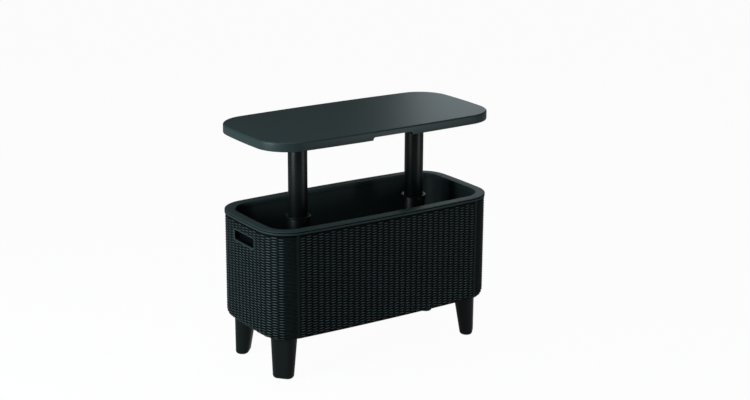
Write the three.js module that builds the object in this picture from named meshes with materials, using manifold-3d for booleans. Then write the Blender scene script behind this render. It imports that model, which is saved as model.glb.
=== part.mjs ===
// Cooler table: a tub with woven-look walls on four legs, and a table top that lifts on two columns.
// Millimetres. X runs along the length, -Y is the front, Z is up, and the floor is Z = 0.
// The table top is shown raised, which is the rest position.

import * as THREE from "three";
import { mergeVertices } from "three/addons/utils/BufferGeometryUtils.js";
import Module from "manifold-3d";

const wasm = await Module();
wasm.setup();

// Clearances
const SEAT_GAP = 0.3;
const RUNNING_GAP = 0.3;
const CUT_OVERRUN = 5;

// Tub outline at the rim
const RIM_LENGTH = 835;
const RIM_WIDTH = 401;
const RIM_CORNER = 100;
const RIM_LONG_BOW = 12;
const RIM_SHORT_BOW = 7;

// Heights above the floor
const RIM_HEIGHT = 487;
const BODY_BOTTOM = 139;
const OPEN_GAP = 247;

// Rim frame
const RIM_FACE = 33.5;
const RIM_WALL = 3.5;
const RIM_LIP_DEPTH = 11;
const RIM_LIP_WALL = 1.7;
const RIM_SKIRT_DEPTH = 14;
const RIM_SKIRT_WALL = 2.2;
const RIM_OUTER_ROUND = 3;
const RIM_INNER_ROUND = 4;

// Inner tub
const LINER_WALL = 3;
const LINER_DRAFT = 8;
const LINER_FLOOR_ROUND = 14;

// Outer wall panels
const PANEL_WALL = 3.5;
const PANEL_FOOT_INSET = 14;
const PANEL_FOOT_RISE = 22;
const PANEL_LIP_WIDTH = 10;
const PANEL_JOINT_ANGLE = THREE.MathUtils.degToRad(82);

// Handle pockets in the ends
const HANDLE_LENGTH = 120;
const HANDLE_HEIGHT = 27;
const HANDLE_DEPTH = 20;
const HANDLE_ROUND = 5;
const HANDLE_BELOW_RIM = 64;
const CUP_WALL = 2.2;
const CUP_FLANGE_WIDTH = 5;

// Base tray
const TRAY_WALL = 3.5;
const TRAY_RIB_DEPTH = 3;
const TRAY_RIB_WIDTH = 3;
const TRAY_LONG_RIBS = 3;
const TRAY_CROSS_RIBS = 6;
const TRAY_LONG_RIB_PITCH = 62;
const TRAY_CROSS_RIB_PITCH = 88;
const SOCKET_HEIGHT = 8;
const SOCKET_WALL = 3;
const FLOOR_AIR_GAP = 3.7;
const TRAY_BOSS_DIAMETER = 92;
const TRAY_BOSS_WALL = 4;

// Legs
const LEG_TURN = THREE.MathUtils.degToRad(42);
const LEG_CLEARANCE = 2.5;
const LEG_TOP_THICKNESS = 65;
const LEG_TOP_WIDTH = 83;
const LEG_TOP_CORNER = 29;
const LEG_FOOT_THICKNESS = 41;
const LEG_FOOT_WIDTH = 66;
const LEG_FOOT_CORNER = 19;
const LEG_FOOT_ROUND = 10;
const LEG_WALL = 3.5;
const LEG_SOLE = 5;
const SPIGOT_SHOULDER = 12;

// Columns and their guides
const COLUMN_SPACING_SHARE = 0.527;
const COLUMN_DIAMETER = 61;
const COLUMN_WALL = 3;
const SHOE_WALL = 2.9;
const SHOE_GRIP = 25;
const SHOE_LIP = 2.7;
const SHOE_FLOOR_CLEARANCE = 1;
const SLEEVE_WALL = 3.5;
const SLEEVE_FLANGE_WIDTH = 16;
const SLEEVE_FLANGE_THICKNESS = 5;
const SLEEVE_DRAIN_WIDTH = 10;
const SLEEVE_DRAIN_HEIGHT = 8;
const COLLAR_SKIRT = 30;
const COLLAR_TOP = 5;
const COLLAR_OVERHANG = 3.5;
const COLLAR_SLIT_WIDTH = 3;
const COLLAR_SLIT_DEPTH = 22;
const COLLAR_SLIT_PAIRS = 3;
const HEAD_DIAMETER = 98;
const HEAD_THICKNESS = 4;
const HEAD_SPIGOT = 26;
const HEAD_SPIGOT_WALL = 4;

// Table top
const TOP_LENGTH = 838;
const TOP_WIDTH = 407;
const TOP_CORNER = 108;
const TOP_LONG_BOW = 12.5;
const TOP_SHORT_BOW = 11.5;
const TOP_THICKNESS = 28;
const DECK_WALL = 4;
const SKIRT_WALL = 3.5;
const TOP_EDGE_ROUND = 5;
const SKIRT_EDGE_ROUND = 2;
const UNDERSIDE_RECESS = 1;
const UNDERSIDE_WALL = 3;
const UNDERSIDE_FLANGE_WALL = 2.5;
const UNDERSIDE_FLANGE_HEIGHT = 12;
const LOAD_BOSS_DIAMETER = 90;
const LOAD_BOSS_WALL = 3;
const GRIP_LENGTH = 146;
const GRIP_SLOPE = 8;
const GRIP_HEIGHT = 10;
const GRIP_DEPTH = 30;
const GRIP_WALL = 2.5;

// Drain
const DRAIN_BORE = 26;
const DRAIN_BOSS_WALL = 5;
const DRAIN_BOSS_DROP = 2;
const DRAIN_HOLE_CLEARANCE = 1;
const SEAL_THICKNESS = 2.2;
const PLUG_CAP_DIAMETER = 48;
const PLUG_CAP_THICKNESS = 5;
const PLUG_SHANK = 12;
const PLUG_SHANK_WALL = 3;
const PLUG_BAR_LENGTH = 34;
const PLUG_BAR_WIDTH = 6;
const PLUG_BAR_HEIGHT = 9;

// Facets
const SHORT_SIDE_STEPS = 2;
const LONG_SIDE_STEPS = 3;
const CORNER_STEPS = 8;
const ROUND_STEPS = 2;
const FOOT_CURVE_STEPS = 4;
const LEG_CORNER_STEPS = 4;
const TURNED_STEPS = 32;
const SMALL_TURNED_STEPS = 20;

// Wall directions closer than this count as the same one
const ANGLE_MARGIN = 1e-3;

// Levels worked out from the sizes
const lift = OPEN_GAP - SEAT_GAP;
const panelInset = RIM_LIP_WALL + SEAT_GAP;
const underRim = RIM_HEIGHT - RIM_WALL - SEAT_GAP;
const panelCurveInset = panelInset + PANEL_FOOT_INSET;
const panelLipInset = panelCurveInset + PANEL_LIP_WIDTH;
const trayBottom = BODY_BOTTOM + PANEL_WALL + SEAT_GAP;
const trayTop = trayBottom + TRAY_WALL;
const socketTop = trayTop + SOCKET_HEIGHT;
const linerFloorBottom = socketTop + FLOOR_AIR_GAP;
const linerFloorTop = linerFloorBottom + LINER_WALL;
const legTop = trayBottom - SEAT_GAP;
const skirtBottom = RIM_HEIGHT + OPEN_GAP;
const topSurface = skirtBottom + TOP_THICKNESS;
const undersideBottom = skirtBottom + UNDERSIDE_RECESS;
const undersideTop = undersideBottom + UNDERSIDE_WALL;
const headTop = undersideBottom - SEAT_GAP;
const headBottom = headTop - HEAD_THICKNESS;
const columnTop = headBottom - SEAT_GAP;
const shoeBottom = linerFloorTop + SHOE_FLOOR_CLEARANCE + lift;
const columnBottom = shoeBottom + SHOE_LIP + SEAT_GAP;
const shoeTop = columnBottom + SHOE_GRIP;
const collarBottom = shoeTop + SEAT_GAP;
const sleeveTop = collarBottom + COLLAR_SKIRT - SEAT_GAP;
const sleeveBottom = linerFloorTop + SEAT_GAP;

// The columns stand at this distance either side of the middle
const columnOffset = (RIM_LENGTH * COLUMN_SPACING_SHARE) / 2;

// Radii worked out from the column outwards
const columnRadius = COLUMN_DIAMETER / 2;
const columnBore = columnRadius - COLUMN_WALL;
const collarBore = columnRadius + RUNNING_GAP;
const guideRadius = columnRadius + SEAT_GAP + SHOE_WALL;
const sleeveBore = guideRadius + RUNNING_GAP;
const sleeveRadius = sleeveBore + SLEEVE_WALL;

// An outline of four bowed sides and four corner arcs that meet smoothly. Each point is found from the
// direction of the wall's outward normal there, so the same angle names the same place at every inset.
// Corner angles are places on the first corner that get a facet edge of their own.
function bowedOutline(length, width, corner, longBow, shortBow, cornerAngles = []) {
  const halfLength = length / 2;
  const halfWidth = width / 2;
  const longRadius = (halfLength ** 2 + longBow ** 2) / (2 * longBow);
  const shortRadius = (halfWidth ** 2 + shortBow ** 2) / (2 * shortBow);
  const longCentre = new THREE.Vector2(0, halfWidth - longRadius);
  const shortCentre = new THREE.Vector2(halfLength - shortRadius, 0);
  const cornerCentre = circleCrossing(longCentre, longRadius - corner, shortCentre, shortRadius - corner);
  const cornerStart = cornerCentre.clone().sub(shortCentre).angle();
  const cornerEnd = cornerCentre.clone().sub(longCentre).angle();

  const pointAt = (angle, inset) => {
    const across = Math.abs(Math.cos(angle));
    const along = Math.abs(Math.sin(angle));
    const turn = Math.atan2(along, across);
    let centre = cornerCentre;
    let radius = corner;
    if (turn < cornerStart) {
      centre = shortCentre;
      radius = shortRadius;
    }
    if (turn > cornerEnd) {
      centre = longCentre;
      radius = longRadius;
    }
    return new THREE.Vector2(
      Math.sign(Math.cos(angle)) * (centre.x + (radius - inset) * across),
      Math.sign(Math.sin(angle)) * (centre.y + (radius - inset) * along),
    );
  };

  const quarter = [
    ...evenSteps(0, cornerStart, SHORT_SIDE_STEPS),
    ...[...evenSteps(cornerStart, cornerEnd, CORNER_STEPS), ...cornerAngles].sort((a, b) => a - b),
    ...evenSteps(cornerEnd, Math.PI / 2, LONG_SIDE_STEPS),
  ];
  const mirrored = [...quarter, Math.PI / 2].slice(1).reverse().map((angle) => Math.PI - angle);
  const half = [...quarter, ...mirrored];
  const angles = [...half, ...half.map((angle) => angle + Math.PI)];
  return { pointAt, angles, cornerCentre, shortRadius };
}

// The crossing of two circles that lies furthest out
function circleCrossing(centreA, radiusA, centreB, radiusB) {
  const apart = centreB.clone().sub(centreA);
  const distance = apart.length();
  const along = (radiusA ** 2 - radiusB ** 2 + distance ** 2) / (2 * distance);
  const across = Math.sqrt(radiusA ** 2 - along ** 2);
  const unit = apart.normalize();
  const side = new THREE.Vector2(-unit.y, unit.x);
  const middle = centreA.clone().addScaledVector(unit, along);
  const crossings = [across, -across].map((offset) => middle.clone().addScaledVector(side, offset));
  return crossings.sort((p, q) => q.x + q.y - p.x - p.y)[0];
}

// Values from start up to, but not with, end
function evenSteps(start, end, steps) {
  return Array.from({ length: steps }, (_, i) => start + ((end - start) * i) / steps);
}

// Points of a quarter of an ellipse, from one side of its centre to the other, both ends included
function quarterCurve(centre, fromSide, toSide, steps) {
  return Array.from({ length: steps + 1 }, (_, i) => {
    const turn = (Math.PI / 2) * (i / steps);
    return [
      centre[0] + fromSide[0] * Math.cos(turn) + toSide[0] * Math.sin(turn),
      centre[1] + fromSide[1] * Math.cos(turn) + toSide[1] * Math.sin(turn),
    ];
  });
}

// One closed body through a row of rings with equal point counts. The two end rings are filled flat,
// or joined to each other where the row closes on itself.
function loft(rings, capOutline, closed = false) {
  const count = rings[0].length;
  const positions = rings.flat().flatMap((p) => [p.x, p.y, p.z]);
  const index = [];
  const bands = closed ? rings.length : rings.length - 1;
  for (let k = 0; k < bands; k += 1) {
    const lower = k * count;
    const upper = ((k + 1) % rings.length) * count;
    for (let i = 0; i < count; i += 1) {
      const j = (i + 1) % count;
      index.push(lower + i, lower + j, upper + j, lower + i, upper + j, upper + i);
    }
  }
  if (!closed) {
    const last = (rings.length - 1) * count;
    capTriangles(capOutline(rings[0])).forEach(([a, b, c]) => index.push(c, b, a));
    capTriangles(capOutline(rings.at(-1))).forEach(([a, b, c]) => index.push(last + a, last + b, last + c));
  }
  const geometry = new THREE.BufferGeometry();
  geometry.setAttribute("position", new THREE.Float32BufferAttribute(positions, 3));
  geometry.setIndex(index);
  return facingOut(geometry);
}

// Triangles of a flat outline, all turning the way the outline turns
function capTriangles(outline) {
  const turnsLeft = THREE.ShapeUtils.area(outline) > 0;
  return THREE.ShapeUtils.triangulateShape(outline, []).map(([a, b, c]) => {
    const left = THREE.ShapeUtils.area([outline[a], outline[b], outline[c]]) > 0;
    return left === turnsLeft ? [a, b, c] : [a, c, b];
  });
}

// The same geometry with its faces turned outwards
function facingOut(geometry) {
  const position = geometry.getAttribute("position");
  const index = Array.from(geometry.getIndex().array);
  const corner = [new THREE.Vector3(), new THREE.Vector3(), new THREE.Vector3()];
  let volume = 0;
  for (let i = 0; i < index.length; i += 3) {
    corner.forEach((point, n) => point.fromBufferAttribute(position, index[i + n]));
    volume += corner[0].dot(corner[1].cross(corner[2]));
  }
  if (volume < 0) {
    index.reverse();
  }
  geometry.setIndex(index);
  return geometry;
}

const fromAbove = (ring) => ring.map((p) => new THREE.Vector2(p.x, p.y));

// A ring round an outline at one inset and height
function ringAt(outline, inset, z) {
  return outline.angles.map((angle) => {
    const p = outline.pointAt(angle, inset);
    return new THREE.Vector3(p.x, p.y, z);
  });
}

// A body turned round an outline: its profile is a list of [inset, height]
function outlineBody(outline, profile) {
  return loft(profile.map(([inset, z]) => ringAt(outline, inset, z)), fromAbove);
}

// A ring round an outline: its profile is a closed list of [inset, height]
function outlineRing(outline, profile) {
  return loft(profile.map(([inset, z]) => ringAt(outline, inset, z)), fromAbove, true);
}

// A straight-sided plate in an outline
function outlinePlate(outline, inset, bottom, top) {
  return outlineBody(outline, [[inset, bottom], [inset, top]]);
}

// A length of wall that follows an outline between two normal directions
function outlineWall(outline, profile, fromAngle, toAngle) {
  const wholeTurns = [-2 * Math.PI, 0, 2 * Math.PI];
  const turns = wholeTurns.flatMap((turn) => outline.angles.map((angle) => angle + turn));
  const afterStart = turns.filter((angle) => angle > fromAngle + ANGLE_MARGIN);
  const between = afterStart.filter((angle) => angle < toAngle - ANGLE_MARGIN);
  const rings = [fromAngle, ...between, toAngle].map((angle) =>
    profile.map(([inset, z]) => {
      const p = outline.pointAt(angle, inset);
      return new THREE.Vector3(p.x, p.y, z);
    }),
  );
  return loft(rings, () => profile.map(([inset, z]) => new THREE.Vector2(inset, z)));
}

// A turned body: its profile is a closed list of [radius, height]
function turned(profile, steps) {
  const points = [...profile, profile[0]].map(([radius, z]) => new THREE.Vector2(radius, z));
  return new THREE.LatheGeometry(points, steps).rotateX(Math.PI / 2);
}

// A tube or a plain disc of one section
function tube(outerRadius, innerRadius, bottom, top, steps) {
  const outside = [[outerRadius, bottom], [outerRadius, top]];
  return turned([...outside, [innerRadius, top], [innerRadius, bottom]], steps);
}

// A plain rod
function rod(radius, bottom, top, steps) {
  const geometry = new THREE.CylinderGeometry(radius, radius, top - bottom, steps);
  return geometry.rotateX(Math.PI / 2).translate(0, 0, (top + bottom) / 2);
}

// A block between two corners
function block(low, high) {
  const size = high.map((value, i) => value - low[i]);
  const middle = high.map((value, i) => (value + low[i]) / 2);
  return new THREE.BoxGeometry(...size).translate(...middle);
}

// A geometry as a solid that can be joined and cut
function solid(geometry) {
  const bare = geometry.clone();
  bare.deleteAttribute("normal");
  bare.deleteAttribute("uv");
  const merged = facingOut(mergeVertices(bare));
  const triangles = Array.from(merged.getIndex().array);
  const whole = [];
  for (let i = 0; i < triangles.length; i += 3) {
    const [a, b, c] = triangles.slice(i, i + 3);
    if (a !== b && b !== c && c !== a) {
      whole.push(a, b, c);
    }
  }
  return new wasm.Manifold(
    new wasm.Mesh({
      numProp: 3,
      vertProperties: new Float32Array(merged.getAttribute("position").array),
      triVerts: new Uint32Array(whole),
    }),
  );
}

// A solid as a geometry
function geometryOf(body) {
  const mesh = body.getMesh();
  const geometry = new THREE.BufferGeometry();
  geometry.setAttribute("position", new THREE.Float32BufferAttribute(mesh.vertProperties, mesh.numProp));
  geometry.setIndex(Array.from(mesh.triVerts));
  return geometry;
}

const panelJoints = [PANEL_JOINT_ANGLE];
const rimOutline = bowedOutline(
  RIM_LENGTH, RIM_WIDTH, RIM_CORNER, RIM_LONG_BOW, RIM_SHORT_BOW, panelJoints,
);
const topOutline = bowedOutline(TOP_LENGTH, TOP_WIDTH, TOP_CORNER, TOP_LONG_BOW, TOP_SHORT_BOW);

// Flat frame round the tub's mouth, with a lip over the walls and a skirt inside the liner's top edge
function tubRim() {
  const plateBottom = RIM_HEIGHT - RIM_WALL;
  const lipBottom = RIM_HEIGHT - RIM_LIP_DEPTH;
  const skirtFoot = RIM_HEIGHT - RIM_SKIRT_DEPTH;
  const skirtInset = RIM_FACE - RIM_SKIRT_WALL;
  const outerEdge = [RIM_OUTER_ROUND, RIM_HEIGHT - RIM_OUTER_ROUND];
  const innerEdge = [RIM_FACE - RIM_INNER_ROUND, RIM_HEIGHT - RIM_INNER_ROUND];
  const profile = [
    [skirtInset, skirtFoot],
    [skirtInset, plateBottom],
    [RIM_LIP_WALL, plateBottom],
    [RIM_LIP_WALL, lipBottom],
    [0, lipBottom],
    ...quarterCurve(outerEdge, [-RIM_OUTER_ROUND, 0], [0, RIM_OUTER_ROUND], ROUND_STEPS),
    ...quarterCurve(innerEdge, [0, RIM_INNER_ROUND], [RIM_INNER_ROUND, 0], ROUND_STEPS),
    [RIM_FACE, skirtFoot],
  ];
  return outlineRing(rimOutline, profile);
}

// Inner tub: drafted walls that end under the rim, a rounded floor and a drain boss
function tubLiner() {
  const topInset = RIM_FACE - RIM_SKIRT_WALL - SEAT_GAP;
  const flatInset = topInset + LINER_DRAFT + LINER_FLOOR_ROUND;
  const outerRound = LINER_FLOOR_ROUND + LINER_WALL;
  const roundCentre = [flatInset, linerFloorTop + LINER_FLOOR_ROUND];
  const profile = [
    ...quarterCurve(roundCentre, [0, -outerRound], [-outerRound, 0], ROUND_STEPS),
    [topInset - LINER_WALL, underRim],
    [topInset, underRim],
    ...quarterCurve(roundCentre, [-LINER_FLOOR_ROUND, 0], [0, -LINER_FLOOR_ROUND], ROUND_STEPS),
  ];
  const boreRadius = DRAIN_BORE / 2;
  const bossBottom = trayBottom - DRAIN_BOSS_DROP;
  const boss = rod(boreRadius + DRAIN_BOSS_WALL, bossBottom, linerFloorTop, SMALL_TURNED_STEPS);
  const bore = rod(boreRadius, bossBottom - CUT_OVERRUN, linerFloorTop + CUT_OVERRUN, SMALL_TURNED_STEPS);
  return geometryOf(solid(outlineBody(rimOutline, profile)).add(solid(boss)).subtract(solid(bore)));
}

// Section of the outer walls: straight down from under the rim, curving in at the foot to a flat lip
function panelProfile() {
  const innerInset = panelInset + PANEL_WALL;
  const curveCentre = [panelCurveInset, BODY_BOTTOM + PANEL_FOOT_RISE];
  const innerFoot = PANEL_FOOT_INSET - PANEL_WALL;
  const innerRise = PANEL_FOOT_RISE - PANEL_WALL;
  return [
    [panelInset, underRim],
    ...quarterCurve(curveCentre, [-PANEL_FOOT_INSET, 0], [0, -PANEL_FOOT_RISE], FOOT_CURVE_STEPS),
    [panelLipInset, BODY_BOTTOM],
    [panelLipInset, BODY_BOTTOM + PANEL_WALL],
    ...quarterCurve(curveCentre, [0, -innerRise], [-innerFoot, 0], FOOT_CURVE_STEPS),
    [innerInset, underRim],
  ];
}

// One outer wall between two normal directions, short of its neighbours by half the seat gap at each end
function wallPanel(fromAngle, toAngle) {
  const endTrim = SEAT_GAP / 2 / (RIM_CORNER - panelLipInset);
  return outlineWall(rimOutline, panelProfile(), fromAngle + endTrim, toAngle - endTrim);
}

// A rounded slot across the end of the tub, grown all round, as a bar along X
function handleBar(grow, fromX, toX) {
  const halfLength = HANDLE_LENGTH / 2 + grow;
  const halfHeight = HANDLE_HEIGHT / 2 + grow;
  const round = HANDLE_ROUND + grow;
  const slot = new THREE.Shape();
  slot.absarc(halfLength - round, halfHeight - round, round, 0, Math.PI / 2);
  slot.absarc(round - halfLength, halfHeight - round, round, Math.PI / 2, Math.PI);
  slot.absarc(round - halfLength, round - halfHeight, round, Math.PI, 1.5 * Math.PI);
  slot.absarc(halfLength - round, round - halfHeight, round, 1.5 * Math.PI, 2 * Math.PI);
  const bar = new THREE.ExtrudeGeometry(slot, {
    depth: toX - fromX,
    bevelEnabled: false,
    curveSegments: ROUND_STEPS,
  });
  const handleHeight = RIM_HEIGHT - HANDLE_BELOW_RIM;
  return bar.rotateX(Math.PI / 2).rotateZ(Math.PI / 2).translate(fromX, 0, handleHeight);
}

// End wall at +X or -X, wrapped round two corners, with its handle slot
function endPanel(side) {
  const middle = side > 0 ? 0 : Math.PI;
  const wall = wallPanel(middle - PANEL_JOINT_ANGLE, middle + PANEL_JOINT_ANGLE);
  const outerFace = RIM_LENGTH / 2;
  const slot = handleBar(CUP_WALL + SEAT_GAP, outerFace - panelLipInset, outerFace + CUT_OVERRUN);
  return geometryOf(solid(wall).subtract(solid(side > 0 ? slot : slot.rotateZ(Math.PI))));
}

// Finger pocket behind a handle slot, flush with the wall and held by a flange behind it
function handleCup(side) {
  const wallFace = RIM_LENGTH / 2 - panelInset;
  const flangeEnd = HANDLE_LENGTH / 2 + CUP_WALL + CUP_FLANGE_WIDTH;
  const wallAtFlangeEnd = rimOutline.pointAt(Math.asin(flangeEnd / rimOutline.shortRadius), 0);
  const slotSag = rimOutline.pointAt(0, 0).x - wallAtFlangeEnd.x;
  const flangeFront = wallFace - PANEL_WALL - slotSag - SEAT_GAP;
  const pocketBack = wallFace - HANDLE_DEPTH;
  const cup = solid(handleBar(CUP_WALL, pocketBack - CUP_WALL, wallFace + CUT_OVERRUN))
    .add(solid(handleBar(CUP_WALL + CUP_FLANGE_WIDTH, flangeFront - CUP_WALL, flangeFront)))
    .subtract(solid(handleBar(0, pocketBack, wallFace + 2 * CUT_OVERRUN)))
    .intersect(solid(outlinePlate(rimOutline, panelInset, BODY_BOTTOM, RIM_HEIGHT)));
  const geometry = geometryOf(cup);
  return side > 0 ? geometry : geometry.rotateZ(Math.PI);
}

// A ring of a leg's tapered section at a height, drawn in by an inset, in the front right corner's frame
function legRing(z, inset, sectionHeight = z) {
  const share = sectionHeight / legTop;
  const thickness = THREE.MathUtils.lerp(LEG_FOOT_THICKNESS, LEG_TOP_THICKNESS, share);
  const width = THREE.MathUtils.lerp(LEG_FOOT_WIDTH, LEG_TOP_WIDTH, share);
  const corner = THREE.MathUtils.lerp(LEG_FOOT_CORNER, LEG_TOP_CORNER, share) - inset;
  const reach = RIM_CORNER - panelLipInset - LEG_CLEARANCE;
  const centre = reach - thickness / 2;
  const halfThickness = thickness / 2 - inset;
  const halfWidth = width / 2 - inset;
  const quarters = [[1, 1], [-1, 1], [-1, -1], [1, -1]];
  return quarters.flatMap(([along, across], quarter) =>
    Array.from({ length: LEG_CORNER_STEPS + 1 }, (_, i) => {
      const turn = (Math.PI / 2) * (quarter + i / LEG_CORNER_STEPS);
      const u = centre + along * (halfThickness - corner) + corner * Math.cos(turn);
      const v = across * (halfWidth - corner) + corner * Math.sin(turn);
      return new THREE.Vector3(u, v, z);
    }),
  );
}

// A leg-shaped geometry set in one corner of the tub
function inCorner(geometry, sideX, sideY) {
  const placed = geometry.clone().rotateZ(LEG_TURN);
  placed.translate(rimOutline.cornerCentre.x, rimOutline.cornerCentre.y, 0);
  placed.scale(sideX, sideY, 1);
  return facingOut(placed);
}

// Hollow tapered leg, with a rounded foot and a spigot on top
function legBody() {
  const edgeCentre = [LEG_FOOT_ROUND, LEG_FOOT_ROUND];
  const footEdge = quarterCurve(edgeCentre, [0, -LEG_FOOT_ROUND], [-LEG_FOOT_ROUND, 0], ROUND_STEPS);
  const spigotBore = SPIGOT_SHOULDER + LEG_WALL;
  const rings = [
    ...footEdge.map(([inset, z]) => legRing(z, inset)),
    legRing(legTop, 0),
    legRing(legTop, SPIGOT_SHOULDER),
    legRing(socketTop, SPIGOT_SHOULDER, legTop),
    legRing(socketTop, spigotBore, legTop),
    legRing(legTop - LEG_WALL, spigotBore),
    legRing(legTop - LEG_WALL, LEG_WALL),
    legRing(LEG_FOOT_ROUND + LEG_SOLE, LEG_WALL),
    legRing(LEG_SOLE, LEG_FOOT_ROUND),
  ];
  return loft(rings, fromAbove);
}

// A plate in the section of a leg's top, drawn in by an inset
function legPlate(inset, bottom, top) {
  return loft([legRing(bottom, inset, legTop), legRing(top, inset, legTop)], fromAbove);
}

// The four corners of the tub as signs of X and Y
const corners = [[-1, -1], [1, -1], [-1, 1], [1, 1]];

// The two column places as signs of X
const sides = [-1, 1];

// Floor plate with shallow ribs below, and leg sockets and load bosses above
function baseTray() {
  const plate = solid(outlinePlate(rimOutline, panelCurveInset, trayBottom, trayTop));
  const ribFieldInset = panelLipInset + SEAT_GAP;
  const ribField = solid(outlinePlate(rimOutline, ribFieldInset, trayBottom - TRAY_RIB_DEPTH, trayTop));
  let tray = plate.add(trayRibs().intersect(ribField));
  for (const [sideX, sideY] of corners) {
    const holeInset = SPIGOT_SHOULDER - SEAT_GAP;
    const collar = legPlate(holeInset - SOCKET_WALL, trayBottom, socketTop);
    const shoulder = legPlate(-LEG_CLEARANCE, trayBottom - CUT_OVERRUN, trayBottom);
    const hole = legPlate(holeInset, trayBottom - CUT_OVERRUN, socketTop + CUT_OVERRUN);
    tray = tray.subtract(solid(inCorner(shoulder, sideX, sideY)));
    tray = tray.add(solid(inCorner(collar, sideX, sideY)));
    tray = tray.subtract(solid(inCorner(hole, sideX, sideY)));
  }
  const bossRadius = TRAY_BOSS_DIAMETER / 2;
  const bossTop = linerFloorBottom - SEAT_GAP;
  for (const side of sides) {
    const boss = tube(bossRadius, bossRadius - TRAY_BOSS_WALL, trayBottom, bossTop, TURNED_STEPS);
    tray = tray.add(solid(boss.translate(side * columnOffset, 0, 0)));
  }
  const drainRadius = DRAIN_BORE / 2 + DRAIN_BOSS_WALL + DRAIN_HOLE_CLEARANCE;
  const drainHole = rod(drainRadius, BODY_BOTTOM - CUT_OVERRUN, trayTop + CUT_OVERRUN, SMALL_TURNED_STEPS);
  return geometryOf(tray.subtract(solid(drainHole)));
}

// Crossing ribs under the tray
function trayRibs() {
  const bottom = trayBottom - TRAY_RIB_DEPTH;
  const half = TRAY_RIB_WIDTH / 2;
  const places = (count, pitch) => Array.from({ length: count }, (_, i) => (i - (count - 1) / 2) * pitch);
  const longRibs = places(TRAY_LONG_RIBS, TRAY_LONG_RIB_PITCH).map((y) =>
    block([-RIM_LENGTH / 2, y - half, bottom], [RIM_LENGTH / 2, y + half, trayTop]),
  );
  const crossRibs = places(TRAY_CROSS_RIBS, TRAY_CROSS_RIB_PITCH).map((x) =>
    block([x - half, -RIM_WIDTH / 2, bottom], [x + half, RIM_WIDTH / 2, trayTop]),
  );
  return [...longRibs, ...crossRibs].map(solid).reduce((all, rib) => all.add(rib));
}

// Plain round tube that carries one end of the table top
function column() {
  return tube(columnRadius, columnBore, columnBottom, columnTop, TURNED_STEPS);
}

// Flanged head: a disc under the table top with a hollow spigot down into the column
function columnHead() {
  const spigotRadius = columnBore - SEAT_GAP;
  const spigotBottom = headBottom - HEAD_SPIGOT;
  const bore = spigotRadius - HEAD_SPIGOT_WALL;
  const profile = [
    [spigotRadius, spigotBottom],
    [spigotRadius, headBottom],
    [HEAD_DIAMETER / 2, headBottom],
    [HEAD_DIAMETER / 2, headTop],
    [bore, headTop],
    [bore, spigotBottom],
  ];
  return turned(profile, TURNED_STEPS);
}

// Sliding shoe: a ring round the column's lower end, turned in under it
function columnShoe() {
  const seatRadius = columnRadius + SEAT_GAP;
  const lipTop = shoeBottom + SHOE_LIP;
  const profile = [
    [columnBore, shoeBottom],
    [guideRadius, shoeBottom],
    [guideRadius, shoeTop],
    [seatRadius, shoeTop],
    [seatRadius, lipTop],
    [columnBore, lipTop],
  ];
  return turned(profile, TURNED_STEPS);
}

// Guide sleeve on the tub's floor, with a flanged foot and a slot that lets melted ice out
function sleeve() {
  const flangeRadius = sleeveRadius + SLEEVE_FLANGE_WIDTH;
  const flangeTop = sleeveBottom + SLEEVE_FLANGE_THICKNESS;
  const profile = [
    [sleeveBore, sleeveBottom],
    [flangeRadius, sleeveBottom],
    [flangeRadius, flangeTop],
    [sleeveRadius, flangeTop],
    [sleeveRadius, sleeveTop],
    [sleeveBore, sleeveTop],
  ];
  const half = SLEEVE_DRAIN_WIDTH / 2;
  const reach = flangeRadius + CUT_OVERRUN;
  const slot = block(
    [-reach, -half, sleeveBottom - CUT_OVERRUN],
    [reach, half, sleeveBottom + SLEEVE_DRAIN_HEIGHT],
  );
  return geometryOf(solid(turned(profile, TURNED_STEPS)).subtract(solid(slot)));
}

// Guide bush in the sleeve's top: a flange on the sleeve's edge and a slit skirt that grips the column
function sleeveCollar() {
  const flangeBottom = sleeveTop + SEAT_GAP;
  const flangeRadius = sleeveRadius + COLLAR_OVERHANG;
  const profile = [
    [collarBore, collarBottom],
    [guideRadius, collarBottom],
    [guideRadius, flangeBottom],
    [flangeRadius, flangeBottom],
    [flangeRadius, flangeBottom + COLLAR_TOP],
    [collarBore, flangeBottom + COLLAR_TOP],
  ];
  const half = COLLAR_SLIT_WIDTH / 2;
  const slitTop = collarBottom + COLLAR_SLIT_DEPTH;
  let collar = solid(turned(profile, TURNED_STEPS));
  for (let i = 0; i < COLLAR_SLIT_PAIRS; i += 1) {
    const slit = block([-flangeRadius, -half, collarBottom - CUT_OVERRUN], [flangeRadius, half, slitTop]);
    collar = collar.subtract(solid(slit.rotateZ((Math.PI * (i + 1 / 2)) / COLLAR_SLIT_PAIRS)));
  }
  return geometryOf(collar);
}

// The finger notch of the front edge as a bar along Y, grown all round
function gripBar(grow, depth) {
  const half = GRIP_LENGTH / 2 + grow;
  const slope = GRIP_SLOPE + grow;
  const height = GRIP_HEIGHT + grow;
  const bottom = skirtBottom - CUT_OVERRUN;
  const outline = [
    [-half, bottom],
    [half, bottom],
    ...quarterCurve([half - slope, skirtBottom], [slope, 0], [0, height], ROUND_STEPS),
    ...quarterCurve([slope - half, skirtBottom], [0, height], [-slope, 0], ROUND_STEPS),
  ];
  const shape = new THREE.Shape(outline.map(([x, z]) => new THREE.Vector2(x, z)));
  const bar = new THREE.ExtrudeGeometry(shape, { depth: depth + CUT_OVERRUN, bevelEnabled: false });
  return bar.rotateX(Math.PI / 2).translate(0, depth - TOP_WIDTH / 2, 0);
}

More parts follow.
